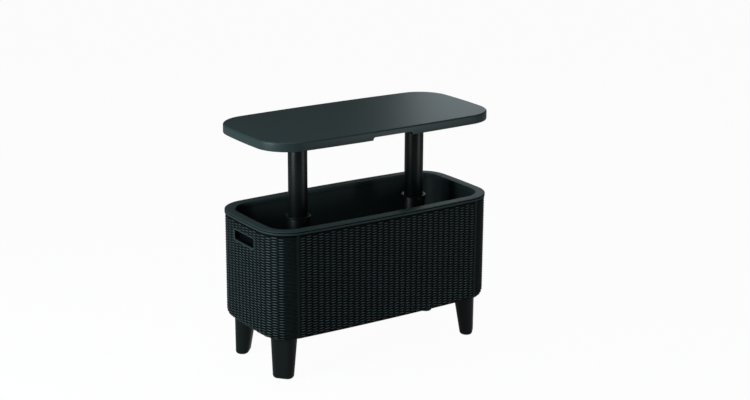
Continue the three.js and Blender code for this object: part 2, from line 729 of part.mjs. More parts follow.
// Deck with a rounded edge and a skirt, notched for fingers at the front and the back
function tableTop() {
  const deckBottom = topSurface - DECK_WALL;
  const upperEdge = [TOP_EDGE_ROUND, topSurface - TOP_EDGE_ROUND];
  const lowerEdge = [SKIRT_EDGE_ROUND, skirtBottom + SKIRT_EDGE_ROUND];
  const profile = [
    [SKIRT_WALL + TOP_EDGE_ROUND, deckBottom],
    [SKIRT_WALL, deckBottom - TOP_EDGE_ROUND],
    [SKIRT_WALL, skirtBottom],
    ...quarterCurve(lowerEdge, [0, -SKIRT_EDGE_ROUND], [-SKIRT_EDGE_ROUND, 0], ROUND_STEPS),
    ...quarterCurve(upperEdge, [-TOP_EDGE_ROUND, 0], [0, TOP_EDGE_ROUND], ROUND_STEPS),
  ];
  const notch = gripBar(0, GRIP_DEPTH);
  const backNotch = notch.clone().rotateZ(Math.PI);
  const deck = solid(outlineBody(topOutline, profile));
  return geometryOf(deck.subtract(solid(notch)).subtract(solid(backNotch)));
}

// Cover that closes the table top from below, with two grip pockets and a load boss over each column
function topUnderside() {
  const edgeInset = SKIRT_WALL + SEAT_GAP;
  const deckBottom = topSurface - DECK_WALL;
  const flangeInset = edgeInset + UNDERSIDE_FLANGE_WALL;
  const flangeTop = undersideBottom + UNDERSIDE_FLANGE_HEIGHT;
  const profile = [
    [edgeInset, undersideBottom],
    [edgeInset, flangeTop],
    [flangeInset, flangeTop],
    [flangeInset, undersideTop],
  ];
  const field = solid(outlinePlate(topOutline, edgeInset, undersideBottom, deckBottom - SEAT_GAP));
  let cover = solid(outlineBody(topOutline, profile));
  for (const turn of [0, Math.PI]) {
    const pocket = solid(gripBar(GRIP_WALL, GRIP_DEPTH + GRIP_WALL).rotateZ(turn)).intersect(field);
    cover = cover.add(pocket).subtract(solid(gripBar(0, GRIP_DEPTH).rotateZ(turn)));
  }
  const bossRadius = LOAD_BOSS_DIAMETER / 2;
  for (const side of sides) {
    const boreRadius = bossRadius - LOAD_BOSS_WALL;
    const boss = tube(bossRadius, boreRadius, undersideBottom, deckBottom - SEAT_GAP, TURNED_STEPS);
    cover = cover.add(solid(boss.translate(side * columnOffset, 0, 0)));
  }
  return geometryOf(cover);
}

// Soft washer between the drain boss and the plug's cap
function drainSeal() {
  const sealTop = trayBottom - DRAIN_BOSS_DROP - SEAT_GAP;
  const boreRadius = DRAIN_BORE / 2;
  const sealRadius = boreRadius + DRAIN_BOSS_WALL;
  return tube(sealRadius, boreRadius, sealTop - SEAL_THICKNESS, sealTop, SMALL_TURNED_STEPS);
}

// Drain plug: a cap with a finger bar below and a hollow shank up into the drain
function drainPlug() {
  const bossBottom = trayBottom - DRAIN_BOSS_DROP;
  const capTop = bossBottom - SEAL_THICKNESS - 2 * SEAT_GAP;
  const capBottom = capTop - PLUG_CAP_THICKNESS;
  const capRadius = PLUG_CAP_DIAMETER / 2;
  const shankRadius = DRAIN_BORE / 2 - RUNNING_GAP;
  const shankBore = shankRadius - PLUG_SHANK_WALL;
  const shankTop = bossBottom + PLUG_SHANK;
  const profile = [
    [0, capBottom],
    [capRadius, capBottom],
    [capRadius, capTop],
    [shankRadius, capTop],
    [shankRadius, shankTop],
    [shankBore, shankTop],
    [shankBore, capTop],
    [0, capTop],
  ];
  const bar = block(
    [-PLUG_BAR_LENGTH / 2, -PLUG_BAR_WIDTH / 2, capBottom - PLUG_BAR_HEIGHT],
    [PLUG_BAR_LENGTH / 2, PLUG_BAR_WIDTH / 2, capTop],
  );
  return geometryOf(solid(turned(profile, SMALL_TURNED_STEPS)).add(solid(bar)));
}

// Resins of the real pieces
const deckResin = { color: 0x343c3f, roughness: 0.5, metalness: 0 };
const casingResin = { color: 0x1c2325, roughness: 0.55, metalness: 0 };
const rimResin = { color: 0x2b3235, roughness: 0.45, metalness: 0 };
const columnResin = { color: 0x22292c, roughness: 0.4, metalness: 0 };
const legResin = { color: 0x1f2527, roughness: 0.42, metalness: 0 };
const guideResin = { color: 0x17191a, roughness: 0.6, metalness: 0 };
const sealRubber = { color: 0x0f1010, roughness: 0.85, metalness: 0 };

// One named sub-part
function part(name, geometry, finish, x = 0) {
  const mesh = new THREE.Mesh(geometry, new THREE.MeshStandardMaterial(finish));
  mesh.name = name;
  mesh.position.x = x;
  return mesh;
}

const sideName = (side) => (side < 0 ? "left" : "right");
const endName = (side) => (side < 0 ? "front" : "back");

// The part that lifts: top, cover, columns, heads and shoes
function liftingTop() {
  const group = new THREE.Group();
  group.add(part("table_top", tableTop(), deckResin));
  group.add(part("top_underside", topUnderside(), guideResin));
  for (const side of sides) {
    const x = side * columnOffset;
    group.add(part(`column_${sideName(side)}`, column(), columnResin, x));
    group.add(part(`column_head_${sideName(side)}`, columnHead(), guideResin, x));
    group.add(part(`column_shoe_${sideName(side)}`, columnShoe(), guideResin, x));
  }
  return group;
}

// The part that stands: tub, walls, tray, legs and guides
function cooler() {
  const group = new THREE.Group();
  const frontAngle = -Math.PI / 2;
  const halfSpan = Math.PI / 2 - PANEL_JOINT_ANGLE;
  group.add(part("tub_rim", tubRim(), rimResin));
  group.add(part("tub_liner", tubLiner(), rimResin));
  group.add(part("front_panel", wallPanel(frontAngle - halfSpan, frontAngle + halfSpan), casingResin));
  group.add(part("back_panel", wallPanel(-frontAngle - halfSpan, -frontAngle + halfSpan), casingResin));
  group.add(part("base_tray", baseTray(), guideResin));
  for (const side of sides) {
    const x = side * columnOffset;
    group.add(part(`${sideName(side)}_end_panel`, endPanel(side), casingResin));
    group.add(part(`handle_cup_${sideName(side)}`, handleCup(side), rimResin));
    group.add(part(`sleeve_${sideName(side)}`, sleeve(), columnResin, x));
    group.add(part(`sleeve_collar_${sideName(side)}`, sleeveCollar(), guideResin, x));
  }
  for (const [sideX, sideY] of corners) {
    const name = `leg_${endName(sideY)}_${sideName(sideX)}`;
    group.add(part(name, inCorner(legBody(), sideX, sideY), legResin));
  }
  return group;
}

// The plug that comes out downwards to drain the tub
function drain() {
  const group = new THREE.Group();
  group.add(part("drain_plug", drainPlug(), guideResin));
  group.add(part("drain_seal", drainSeal(), sealRubber));
  return group;
}

const coolerTable = new THREE.Group();
coolerTable.add(cooler(), liftingTop(), drain());

export default coolerTable;
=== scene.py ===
import math

import bpy
import numpy as np
from mathutils import Matrix, Vector


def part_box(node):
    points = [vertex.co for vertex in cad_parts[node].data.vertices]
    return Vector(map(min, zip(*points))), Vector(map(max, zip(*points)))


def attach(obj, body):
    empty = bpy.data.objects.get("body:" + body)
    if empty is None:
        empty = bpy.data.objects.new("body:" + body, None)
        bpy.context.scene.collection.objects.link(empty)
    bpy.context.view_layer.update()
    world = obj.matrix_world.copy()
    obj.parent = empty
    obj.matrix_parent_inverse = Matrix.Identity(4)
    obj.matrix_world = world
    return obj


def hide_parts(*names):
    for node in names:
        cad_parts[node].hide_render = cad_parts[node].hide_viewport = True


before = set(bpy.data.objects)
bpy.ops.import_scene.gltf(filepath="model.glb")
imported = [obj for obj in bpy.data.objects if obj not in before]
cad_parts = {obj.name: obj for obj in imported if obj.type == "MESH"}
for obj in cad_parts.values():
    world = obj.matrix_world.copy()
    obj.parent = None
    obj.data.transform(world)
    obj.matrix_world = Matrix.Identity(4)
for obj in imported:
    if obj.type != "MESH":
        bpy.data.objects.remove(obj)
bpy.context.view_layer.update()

# The view
# The photograph looks at the front from its left and a little from above, through a long lens from
# about five metres off, and hangs a third of a degree out of level. The numbers come from fitting the
# outlines of rim, table top, foot and columns to it.
AZIMUTH = math.radians(-33.782)
ELEVATION = math.radians(16.542)
CAMERA_ROLL = math.radians(0.338)
CAMERA_DISTANCE = 5.10897
CAMERA_TARGET = Vector((0.069215, 0.0, 0.473621))
SENSOR_WIDTH = 36.0
FOCAL_PIXELS = 1585.106
PICTURE_WIDTH = 750

bpy.ops.object.select_all(action="DESELECT")
away = Vector((
    math.sin(AZIMUTH) * math.cos(ELEVATION),
    -math.cos(AZIMUTH) * math.cos(ELEVATION),
    math.sin(ELEVATION),
))
level = Vector((math.cos(AZIMUTH), math.sin(AZIMUTH), 0.0))
upright = away.cross(level)
camera_right = level * math.cos(CAMERA_ROLL) + upright * math.sin(CAMERA_ROLL)
camera_up = upright * math.cos(CAMERA_ROLL) - level * math.sin(CAMERA_ROLL)
bpy.ops.object.camera_add(location=CAMERA_TARGET + away * CAMERA_DISTANCE)
camera = bpy.context.object
camera.name = "photo_camera"
camera.rotation_mode = "QUATERNION"
camera.rotation_quaternion = Matrix((camera_right, camera_up, away)).transposed().to_quaternion()
camera.data.sensor_width = SENSOR_WIDTH
camera.data.lens = FOCAL_PIXELS / PICTURE_WIDTH * SENSOR_WIDTH
camera.data.clip_start = 0.05
camera.data.clip_end = 60.0
bpy.context.scene.camera = camera
bpy.context.scene.view_settings.view_transform = "Standard"

# Floor and backdrop
# A plain white sweep, as in a product picture: white to the camera, and much dimmer in gloss, so that the
# near-black mouldings stay dark. It keeps the soft shadow and throws little light back at the object.
FLOOR_SIZE = 30.0
FLOOR_SEEN_SHARE, FLOOR_GLOSS_SHARE, FLOOR_SHADE = 0.965, 0.3, "707070"
BACKDROP_LIGHT, BACKDROP_SEEN = 0.07, 1.0


def pigment(hex_colour, alpha=1.0):
    """Linear colour of an sRGB hex value."""
    channels = [int(hex_colour[i:i + 2], 16) / 255 for i in (0, 2, 4)]
    linear = [c / 12.92 if c <= 0.04045 else ((c + 0.055) / 1.055) ** 2.4 for c in channels]
    return (*linear, alpha)


def toned(hex_colour, factor):
    """The same colour, darker or lighter by a factor."""
    return tuple(c * factor for c in pigment(hex_colour)[:3]) + (1,)


def put(tree, kind, inputs=None, **settings):
    """One node with its settings, its values and its links."""
    node = tree.nodes.new(kind)
    for name, value in settings.items():
        setattr(node, name, value)
    for name, value in (inputs or {}).items():
        if isinstance(value, bpy.types.NodeSocket):
            tree.links.new(value, node.inputs[name])
        else:
            node.inputs[name].default_value = value
    return node


def blank_material(name):
    """A new material with an empty node tree."""
    material = bpy.data.materials.new(name)
    material.use_nodes = True
    material.node_tree.nodes.clear()
    return material, material.node_tree


bpy.ops.object.select_all(action="DESELECT")
bpy.ops.mesh.primitive_plane_add(size=FLOOR_SIZE)
floor = bpy.context.object
floor.name = "studio_floor"

# Matt white paper. It gives a soft shadow and no gloss.
floor_paint, tree = blank_material("white_paper_matt")
ray = put(tree, "ShaderNodeLightPath")
seen = ray.outputs["Is Camera Ray"]
seen_share = put(tree, "ShaderNodeMath", {0: seen, 1: FLOOR_SEEN_SHARE}, operation="MULTIPLY")
gloss_share = put(tree, "ShaderNodeMath", {
    0: ray.outputs["Is Glossy Ray"], 1: FLOOR_GLOSS_SHARE}, operation="MULTIPLY")
share = put(tree, "ShaderNodeMath", {
    0: seen_share.outputs[0], 1: gloss_share.outputs[0]}, operation="MAXIMUM")
paper_colour = put(tree, "ShaderNodeMix", {
    "Factor": seen, "A": pigment(FLOOR_SHADE), "B": pigment("ffffff")}, data_type="RGBA")
paper = put(tree, "ShaderNodeBsdfDiffuse", {"Color": paper_colour.outputs["Result"]})
white = put(tree, "ShaderNodeEmission", {"Color": (1, 1, 1, 1), "Strength": 1.0})
blend = put(tree, "ShaderNodeMixShader", {0: share.outputs[0], 1: paper.outputs[0], 2: white.outputs[0]})
put(tree, "ShaderNodeOutputMaterial", {"Surface": blend.outputs[0]})
floor.data.materials.append(floor_paint)

world = bpy.data.worlds.new("studio_world")
bpy.context.scene.world = world
world.use_nodes = True
tree = world.node_tree
tree.nodes.clear()
seen = put(tree, "ShaderNodeLightPath").outputs["Is Camera Ray"]
dim = put(tree, "ShaderNodeBackground", {"Color": (1, 1, 1, 1), "Strength": BACKDROP_LIGHT})
bright = put(tree, "ShaderNodeBackground", {"Color": (1, 1, 1, 1), "Strength": BACKDROP_SEEN})
blend = put(tree, "ShaderNodeMixShader", {0: seen, 1: dim.outputs[0], 2: bright.outputs[0]})
put(tree, "ShaderNodeOutputWorld", {"Surface": blend.outputs[0]})

# Studio lamps
# A tall strip at the left lights the tub's end and the left of each round piece, a narrow one in front
# gives the second highlight on the columns, and a soft box behind puts a sheen on the deck's right half.
LAMPS = (
    ("strip_left", (-2.22, -0.2, 1.2), (0.9, 1.7), 41.0),
    ("strip_front", (1.25, -2.1, 0.5), (0.25, 0.9), 9.5),
    ("soft_box_behind", (1.6, 1.4, 1.28), (0.7, 0.7), 2.6),
    ("soft_box_overhead", (-0.3, 0.2, 3.4), (2.0, 2.0), 19.0),
)
LAMP_TINT, LAMP_AIM = (0.84, 0.97, 1.0), Vector((0, 0, 0.4))

for name, place, (width, height), power in LAMPS:
    bpy.ops.object.light_add(type="AREA", location=place)
    lamp = bpy.context.object
    lamp.name = name
    lamp.data.shape = "RECTANGLE"
    lamp.data.size = width
    lamp.data.size_y = height
    lamp.data.color = LAMP_TINT
    lamp.data.energy = power
    lamp.visible_camera = False
    lamp.rotation_mode = "QUATERNION"
    lamp.rotation_quaternion = (LAMP_AIM - Vector(place)).to_track_quat("-Z", "Y")

# Rim frame
# Injection-moulded polypropylene in graphite: a flat band round the tub's mouth, a lip that caps the
# walls, a shadow groove between the two and a skirt inside the liner, swept along the bowed outline.
RIM_LENGTH, RIM_WIDTH, RIM_CORNER, RIM_LONG_BOW, RIM_SHORT_BOW = 835, 401, 100, 12, 7
RIM_HEIGHT, RIM_PLATE, RIM_INNER, RIM_INNER_ROUND, RIM_OUTER_ROUND = 487, 3.5, 33.5, 4, 1.8
RIM_SKIRT_BACK, RIM_SKIRT_DROP = 31.3, 14
RIM_LIP_BACK, RIM_LIP_DROP, RIM_LIP_ROUND, RIM_BEAD_DROP, RIM_BEAD_ROUND = 1.7, 11, 0.6, 6.2, 0.8
GROOVE_INSET, GROOVE_TOP, GROOVE_FOOT = 1.1, 2.3, 5.3
SMOOTH_BELOW = math.radians(35)
MM = 0.001


def bowed_outline(length, width, corner, long_bow, short_bow):
    """Arcs of an outline with four bowed sides and four corners, in mm."""
    half_length, half_width = length / 2, width / 2
    long_radius = (half_length ** 2 + long_bow ** 2) / (2 * long_bow)
    short_radius = (half_width ** 2 + short_bow ** 2) / (2 * short_bow)
    long_centre = Vector((0, half_width - long_radius))
    short_centre = Vector((half_length - short_radius, 0))
    reach_a, reach_b = long_radius - corner, short_radius - corner
    apart = short_centre - long_centre
    along = (reach_a ** 2 - reach_b ** 2 + apart.length_squared) / (2 * apart.length)
    across = math.sqrt(reach_a ** 2 - along ** 2)
    unit = apart.normalized()
    crossings = [long_centre + unit * along + Vector((-unit.y, unit.x)) * s * across for s in (1, -1)]
    corner_centre = max(crossings, key=lambda p: p.x + p.y)
    start = math.atan2(corner_centre.y, corner_centre.x - short_centre.x)
    end = math.atan2(corner_centre.y - long_centre.y, corner_centre.x)
    return {
        "start": start, "end": end,
        "short": (short_centre, short_radius), "corner": (corner_centre, corner),
        "long": (long_centre, long_radius),
    }


def arc_at(outline, angle):
    """Centre and radius of the arc whose outward normal points along an angle."""
    turn = math.atan2(abs(math.sin(angle)), abs(math.cos(angle)))
    if turn < outline["start"] - 1e-9:
        return outline["short"]
    if turn > outline["end"] + 1e-9:
        return outline["long"]
    return outline["corner"]


def outline_point(outline, angle, inset):
    """Point of the outline, drawn in by an inset, where the wall faces along an angle."""
    centre, radius = arc_at(outline, angle)
    across, along = math.cos(angle), math.sin(angle)
    return Vector((
        math.copysign(centre.x + (radius - inset) * abs(across), across),
        math.copysign(centre.y + (radius - inset) * abs(along), along),
    ))


def outline_breaks(outline, start, end):
    """The angles between two others where one arc of the outline meets the next."""
    first, last = outline["start"], outline["end"]
    found = []
    for half_turn in range(-2, 6):
        for angle in (first, last, math.pi - last, math.pi - first):
            place = angle + half_turn * math.pi
            if start + 1e-6 < place < end - 1e-6:
                found.append(place)
    return sorted(set(found))


def guide(name, outline, inset, start=None, end=None):
    """Curve along the outline: all of it, or the part between two directions of the wall's normal."""
    whole = start is None
    first = outline["start"] if whole else start
    last = first + 2 * math.pi if whole else end
    angles = [first, *outline_breaks(outline, first, last), last]
    curve = bpy.data.curves.new(name, "CURVE")
    curve.dimensions = "2D"
    curve.resolution_u = 20
    spline = curve.splines.new("BEZIER")
    spline.use_cyclic_u = whole
    count = len(angles) - 1 if whole else len(angles)
    spline.bezier_points.add(count - 1)
    for place, angle in enumerate(angles[:count]):
        knot = spline.bezier_points[place]
        knot.handle_left_type = knot.handle_right_type = "FREE"
        knot.co = (*outline_point(outline, angle, inset) * MM, 0)
        knot.handle_left = knot.handle_right = knot.co
    for place in range(len(angles) - 1):
        a, b = angles[place], angles[place + 1]
        radius = arc_at(outline, (a + b) / 2)[1] - inset
        reach = 4 / 3 * math.tan((b - a) / 4) * radius * MM
        near, far = spline.bezier_points[place], spline.bezier_points[(place + 1) % count]
        near.handle_right = near.co + Vector((-math.sin(a), math.cos(a), 0)) * reach
        far.handle_left = far.co - Vector((-math.sin(b), math.cos(b), 0)) * reach
    return curve


def take_up(piece):
    """Leaves a piece as the only selected object, and as the active one."""
    bpy.ops.object.select_all(action="DESELECT")
    bpy.context.view_layer.objects.active = piece
    piece.select_set(True)


def sweep(name, path, section, closed=True, capped=False):
    """Mesh piece: a section of (inset, height) points in mm drawn along a path. A path that is open
    takes the section on its other hand, so it is turned over there."""
    hand = 1 if path.splines[0].use_cyclic_u else -1
    outline_curve = bpy.data.curves.new(name + "_section", "CURVE")
    outline_curve.dimensions = "2D"
    spline = outline_curve.splines.new("POLY")
    spline.points.add(len(section) - 1)
    for point, (inset, height) in zip(spline.points, section):
        point.co = (hand * inset * MM, height * MM, 0, 1)
    spline.use_cyclic_u = closed
    section_object = bpy.data.objects.new(name + "_section", outline_curve)
    bpy.context.collection.objects.link(section_object)
    path.bevel_mode = "OBJECT"
    path.bevel_object = section_object
    path.use_fill_caps = capped
    piece = bpy.data.objects.new(name, path)
    bpy.context.collection.objects.link(piece)
    take_up(piece)
    bpy.ops.object.convert(target="MESH")
    bpy.data.objects.remove(section_object)
    piece = bpy.context.object
    piece.name = name
    if capped:
        bpy.ops.object.mode_set(mode="EDIT")
        bpy.ops.mesh.select_all(action="SELECT")
        bpy.ops.mesh.remove_doubles(threshold=1e-6)
        bpy.ops.mesh.normals_make_consistent(inside=False)
        bpy.ops.object.mode_set(mode="OBJECT")
    bpy.ops.object.shade_smooth_by_angle(angle=SMOOTH_BELOW)
    return piece


def rounded(centre, start, end, radius, steps=6):
    """Points of an arc between two angles in degrees, for a section."""
    angles = [math.radians(start + (end - start) * i / steps) for i in range(steps + 1)]
    return [(centre[0] + radius * math.cos(a), centre[1] + radius * math.sin(a)) for a in angles]


rim_outline = bowed_outline(RIM_LENGTH, RIM_WIDTH, RIM_CORNER, RIM_LONG_BOW, RIM_SHORT_BOW)
rim_section = [
    (RIM_SKIRT_BACK, RIM_HEIGHT - RIM_SKIRT_DROP), (RIM_SKIRT_BACK, RIM_HEIGHT - RIM_PLATE),
    (RIM_LIP_BACK, RIM_HEIGHT - RIM_PLATE), (RIM_LIP_BACK, RIM_HEIGHT - RIM_LIP_DROP),
    *rounded((RIM_LIP_ROUND, RIM_HEIGHT - RIM_LIP_DROP + RIM_LIP_ROUND), -90, -180, RIM_LIP_ROUND, 3),
    *rounded((RIM_BEAD_ROUND, RIM_HEIGHT - RIM_BEAD_DROP), 180, 110, RIM_BEAD_ROUND, 3),
    (GROOVE_INSET, RIM_HEIGHT - GROOVE_FOOT), (GROOVE_INSET, RIM_HEIGHT - GROOVE_TOP),
    *rounded((RIM_OUTER_ROUND, RIM_HEIGHT - RIM_OUTER_ROUND), 200, 90, RIM_OUTER_ROUND, 5),
    *rounded((RIM_INNER - RIM_INNER_ROUND, RIM_HEIGHT - RIM_INNER_ROUND), 90, 0, RIM_INNER_ROUND),
    *rounded((RIM_INNER - RIM_LIP_ROUND, RIM_HEIGHT - RIM_SKIRT_DROP + RIM_LIP_ROUND),
             0, -90, RIM_LIP_ROUND, 3),
]
rim = sweep("rim_frame", guide("rim_path", rim_outline, 0), rim_section)
groove_low, groove_high = (RIM_HEIGHT - GROOVE_FOOT - 0.2) * MM, (RIM_HEIGHT - GROOVE_TOP + 0.1) * MM

PLASTIC_IOR, CLOUDS_PER_METRE, CLOUD_BAND, POLISH_SWING, GRAIN_STRENGTH = 1.49, 14.0, (0.3, 0.7), 0.05, 0.6
CREST_FROM, CREST_FULL, HOLLOW_GLOSS = 0.68, 0.98, 0.35
WORN_SHARE, WORN_PALER = 0.25, 2.2


def moulded(name, colour, roughness, specular, grain_mm, grain_depth_mm, mottle, stretch=(1, 1, 1),
            painted_shade_colour=None, edge_mm=None):
    """Moulded plastic: fine mould grain, faint colour clouding and uneven polish. A painted shade colour
    darkens it where the piece's relief attribute is low, as painted shade in the hollows against crests that
    keep the paler main colour as painted highlight, and edges of a given width are rubbed paler.
    The grain is drawn several times coarser than the real one, about 0.2 mm, so that it shows."""
    material, tree = blank_material(name)
    place = put(tree, "ShaderNodeTexCoord")
    drawn = put(tree, "ShaderNodeMapping", {"Vector": place.outputs["Object"], "Scale": stretch})
    cloud = put(tree, "ShaderNodeTexNoise", {
        "Vector": drawn.outputs[0], "Scale": CLOUDS_PER_METRE, "Detail": 4.0})
    grain = put(tree, "ShaderNodeTexNoise", {
        "Vector": drawn.outputs[0], "Scale": 1 / MM / grain_mm / 2, "Detail": 2.0})
    ramp = put(tree, "ShaderNodeValToRGB", {"Fac": cloud.outputs["Fac"]})
    for stop, level, factor in zip(ramp.color_ramp.elements, CLOUD_BAND, (1 - mottle, 1 + mottle)):
        stop.position = level
        stop.color = toned(colour, factor)
    tone = ramp.outputs["Color"]
    gloss = specular
    if painted_shade_colour:
        relief = put(tree, "ShaderNodeAttribute", attribute_name="relief")
        raised = put(tree, "ShaderNodeMapRange", {
            "Value": relief.outputs["Fac"], "From Min": CREST_FROM, "From Max": CREST_FULL},
            interpolation_type="SMOOTHSTEP")
        painted_shade_mix = put(tree, "ShaderNodeMix", {
            "Factor": raised.outputs["Result"], "A": pigment(painted_shade_colour), "B": tone}, data_type="RGBA")
        tone = painted_shade_mix.outputs["Result"]
        glint = put(tree, "ShaderNodeMapRange", {
            "Value": raised.outputs["Result"], "To Min": HOLLOW_GLOSS * specular, "To Max": specular})
        gloss = glint.outputs["Result"]
    if edge_mm:
        softened = put(tree, "ShaderNodeBevel", {"Radius": edge_mm * MM}, samples=4)
        true = put(tree, "ShaderNodeNewGeometry")
        match = put(tree, "ShaderNodeVectorMath", {
            0: softened.outputs["Normal"], 1: true.outputs["Normal"]}, operation="DOT_PRODUCT")
        rubbed = put(tree, "ShaderNodeMapRange", {
            "Value": match.outputs["Value"], "From Min": 0.995, "From Max": 0.9, "To Max": WORN_SHARE})
        worn = put(tree, "ShaderNodeMix", {
            "Factor": rubbed.outputs["Result"], "A": tone, "B": toned(colour, WORN_PALER)}, data_type="RGBA")
        tone = worn.outputs["Result"]
    polish = put(tree, "ShaderNodeMapRange", {
        "Value": grain.outputs["Fac"],
        "To Min": roughness - POLISH_SWING, "To Max": roughness + POLISH_SWING})
    bump = put(tree, "ShaderNodeBump", {
        "Height": grain.outputs["Fac"], "Distance": grain_depth_mm * MM, "Strength": GRAIN_STRENGTH})
    skin = put(tree, "ShaderNodeBsdfPrincipled", {
        "Base Color": tone, "Roughness": polish.outputs["Result"],
        "Specular IOR Level": gloss, "IOR": PLASTIC_IOR, "Normal": bump.outputs["Normal"]})
    put(tree, "ShaderNodeOutputMaterial", {"Surface": skin.outputs[0]})
    return material


# Satin polypropylene from a spark-eroded mould: even dark grey with a soft sheen along its edges.
satin_rim = moulded(
    "polypropylene_satin_rim", "344243", roughness=0.45, specular=0.16,
    grain_mm=0.9, grain_depth_mm=0.04, mottle=0.06, edge_mm=2.0)
rim.data.materials.append(satin_rim)

# The groove is painted nearly black as painted shade, which draws a thin dark line round the tub.
groove_painted_shade = moulded(
    "polypropylene_rim_groove_painted_shade", "040606", roughness=0.7, specular=0.02,
    grain_mm=0.9, grain_depth_mm=0.04, mottle=0.06)
rim.data.materials.append(groove_painted_shade)
# Faces on the groove's outer wall take the painted shade.
for polygon in rim.data.polygons:
    outward = polygon.normal.x * polygon.center.x + polygon.normal.y * polygon.center.y
    if groove_low < polygon.center.z < groove_high and outward > 0:
        polygon.material_index = 1
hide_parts("tub_rim")
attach(rim, "cooler")

# Inner tub
# The same polypropylene, blown or injected as one deep tray: drafted walls, a rounded foot and a flat
# floor with the drain hole in its middle. Its top edge stands behind the rim's skirt.
LINER_TOP, LINER_FLOOR, LINER_ROUND, LINER_WALL = 483.2, 161.0, 14, 3
LINER_TOP_INSET, LINER_FLOOR_INSET = 28, 53
DRAIN_BORE, DRAIN_BOSS, DRAIN_DISH, DISH_DEPTH = 13.0, 18.0, 17.0, 2.0

round_middle = (LINER_FLOOR_INSET, LINER_FLOOR + LINER_ROUND)
liner_section = [
    (LINER_FLOOR_INSET, LINER_FLOOR - LINER_WALL),
    *rounded(round_middle, -90, -180, LINER_ROUND + LINER_WALL)[1:],
    (LINER_TOP_INSET, LINER_TOP), (LINER_TOP_INSET + LINER_WALL, LINER_TOP),
    *rounded(round_middle, -180, -90, LINER_ROUND),
]
liner = sweep("inner_tub", guide("liner_path", rim_outline, 0), liner_section, closed=False)


def close_ends(piece, low, high):
    """Fills the open loops of a piece that lie between two heights, in mm."""
    take_up(piece)
    bpy.ops.object.mode_set(mode="EDIT")
    bpy.ops.mesh.select_mode(type="EDGE")
    for height in (low, high):
        bpy.ops.mesh.select_all(action="DESELECT")
        bpy.ops.mesh.select_non_manifold(extend=False)
        bpy.ops.object.mode_set(mode="OBJECT")
        mesh = piece.data
        for edge in mesh.edges:
            if edge.select:
                level = all(abs(mesh.vertices[v].co.z - height * MM) < 1e-5 for v in edge.vertices)
                edge.select = level
        for vertex in mesh.vertices:
            vertex.select = vertex.select and abs(vertex.co.z - height * MM) < 1e-5
        bpy.ops.object.mode_set(mode="EDIT")
        bpy.ops.mesh.edge_face_add()
    bpy.ops.mesh.select_all(action="SELECT")
    bpy.ops.mesh.normals_make_consistent(inside=False)
    bpy.ops.object.mode_set(mode="OBJECT")
    bpy.ops.object.shade_smooth_by_angle(angle=SMOOTH_BELOW)


def carve(piece, tool, operation="DIFFERENCE"):
    """Cuts a tool's shape out of a piece, or joins it on, and removes the tool."""
    change = piece.modifiers.new("carve", "BOOLEAN")
    change.object = tool
    change.operation = operation
    change.solver = "EXACT"
    take_up(piece)
    bpy.ops.object.modifier_apply(modifier=change.name)
    bpy.data.objects.remove(tool)


close_ends(liner, LINER_FLOOR - LINER_WALL, LINER_FLOOR)
boss_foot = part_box("tub_liner")[0][2] / MM
dish_foot_radius = DRAIN_BORE - 0.5
dish_top_radius = 2 * DRAIN_DISH - dish_foot_radius
for low, high, low_radius, high_radius, operation in (
        (boss_foot, LINER_FLOOR - 1, DRAIN_BOSS, DRAIN_BOSS, "UNION"),
        (boss_foot - 5, LINER_FLOOR + 5, DRAIN_BORE, DRAIN_BORE, "DIFFERENCE"),
        (LINER_FLOOR - DISH_DEPTH, LINER_FLOOR + DISH_DEPTH,
         dish_foot_radius, dish_top_radius, "DIFFERENCE")):
    bpy.ops.object.select_all(action="DESELECT")
    bpy.ops.mesh.primitive_cone_add(
        vertices=48, radius1=low_radius * MM, radius2=high_radius * MM, depth=(high - low) * MM,
        location=(0, 0, (low + high) / 2 * MM))
    carve(liner, bpy.context.object, operation)


def smooth_but_level(piece):
    """Smooth shading by angle, with the large level faces left flat so that they shade evenly."""
    bpy.ops.object.shade_smooth_by_angle(angle=SMOOTH_BELOW)
    for polygon in piece.data.polygons:
        if abs(polygon.normal.z) > 0.9999 and len(polygon.vertices) > 4:
            polygon.use_smooth = False


smooth_but_level(liner)

# Satin polypropylene. It stays near black in the tub's shade and pales only below the mouth.
liner_skin = moulded(
    "polypropylene_satin_liner", "2c3637", roughness=0.5, specular=0.3,
    grain_mm=1.2, grain_depth_mm=0.05, mottle=0.06)
liner.data.materials.append(liner_skin)
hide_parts("tub_liner")
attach(liner, "cooler")

# Woven-look walls
# Four injection-moulded polypropylene panels with a plain weave moulded in relief: flat strands lie in
# front of one upright stake and behind the next. The front and back panels end in a smooth edge below
# the weave. The end panels wrap round the corners, where a plain stake covers each joint.
WALL_INSET, WALL_TOP, WALL_BOTTOM = 2.0, 483.0, 139.0
FOOT_INSET, FOOT_RISE, LIP_WIDTH = 14.0, 22.0, 10.0
FOOT_TOP = WALL_BOTTOM + FOOT_RISE
WEAVE_INSET, BACKING_INSET, WALL_BACK_INSET = 3.6, 5.6, 8.0
WEAVE_TOP, ROW_PITCH, FRONT_ROWS, END_ROWS = 469.0, 4.2125, 76, 80
FRONT_STAKES, END_STAKES = 31, 17
STRAND_SWING, STRAND_THICKNESS, STRAND_BACK, STRAND_GAP = 1.2, 1.3, -0.25, 1.5
PLAIN_OUT, WEAVE_END_GAP = 0.28, 0.3
STAKE_WIDTH, STAKE_DEPTH, STAKE_ABOVE, STAKE_CUT = 6.4, 0.5, 0.5, 3
BORDER_STEP, BORDER_CHAMFER = 0.9, 0.5
BACKING_RISE, LIP_THICKNESS, WALL_BACK_RISE = 3, 3.5, 6
JOINT_TURN, PLAIN_TURN = math.radians(82), math.radians(56)
BAND_TURN = rim_outline["start"] + (rim_outline["end"] - rim_outline["start"]) * 7 / 8
FRONT_EDGE_TURN, END_EDGE_TURN = math.radians(30), math.radians(84)


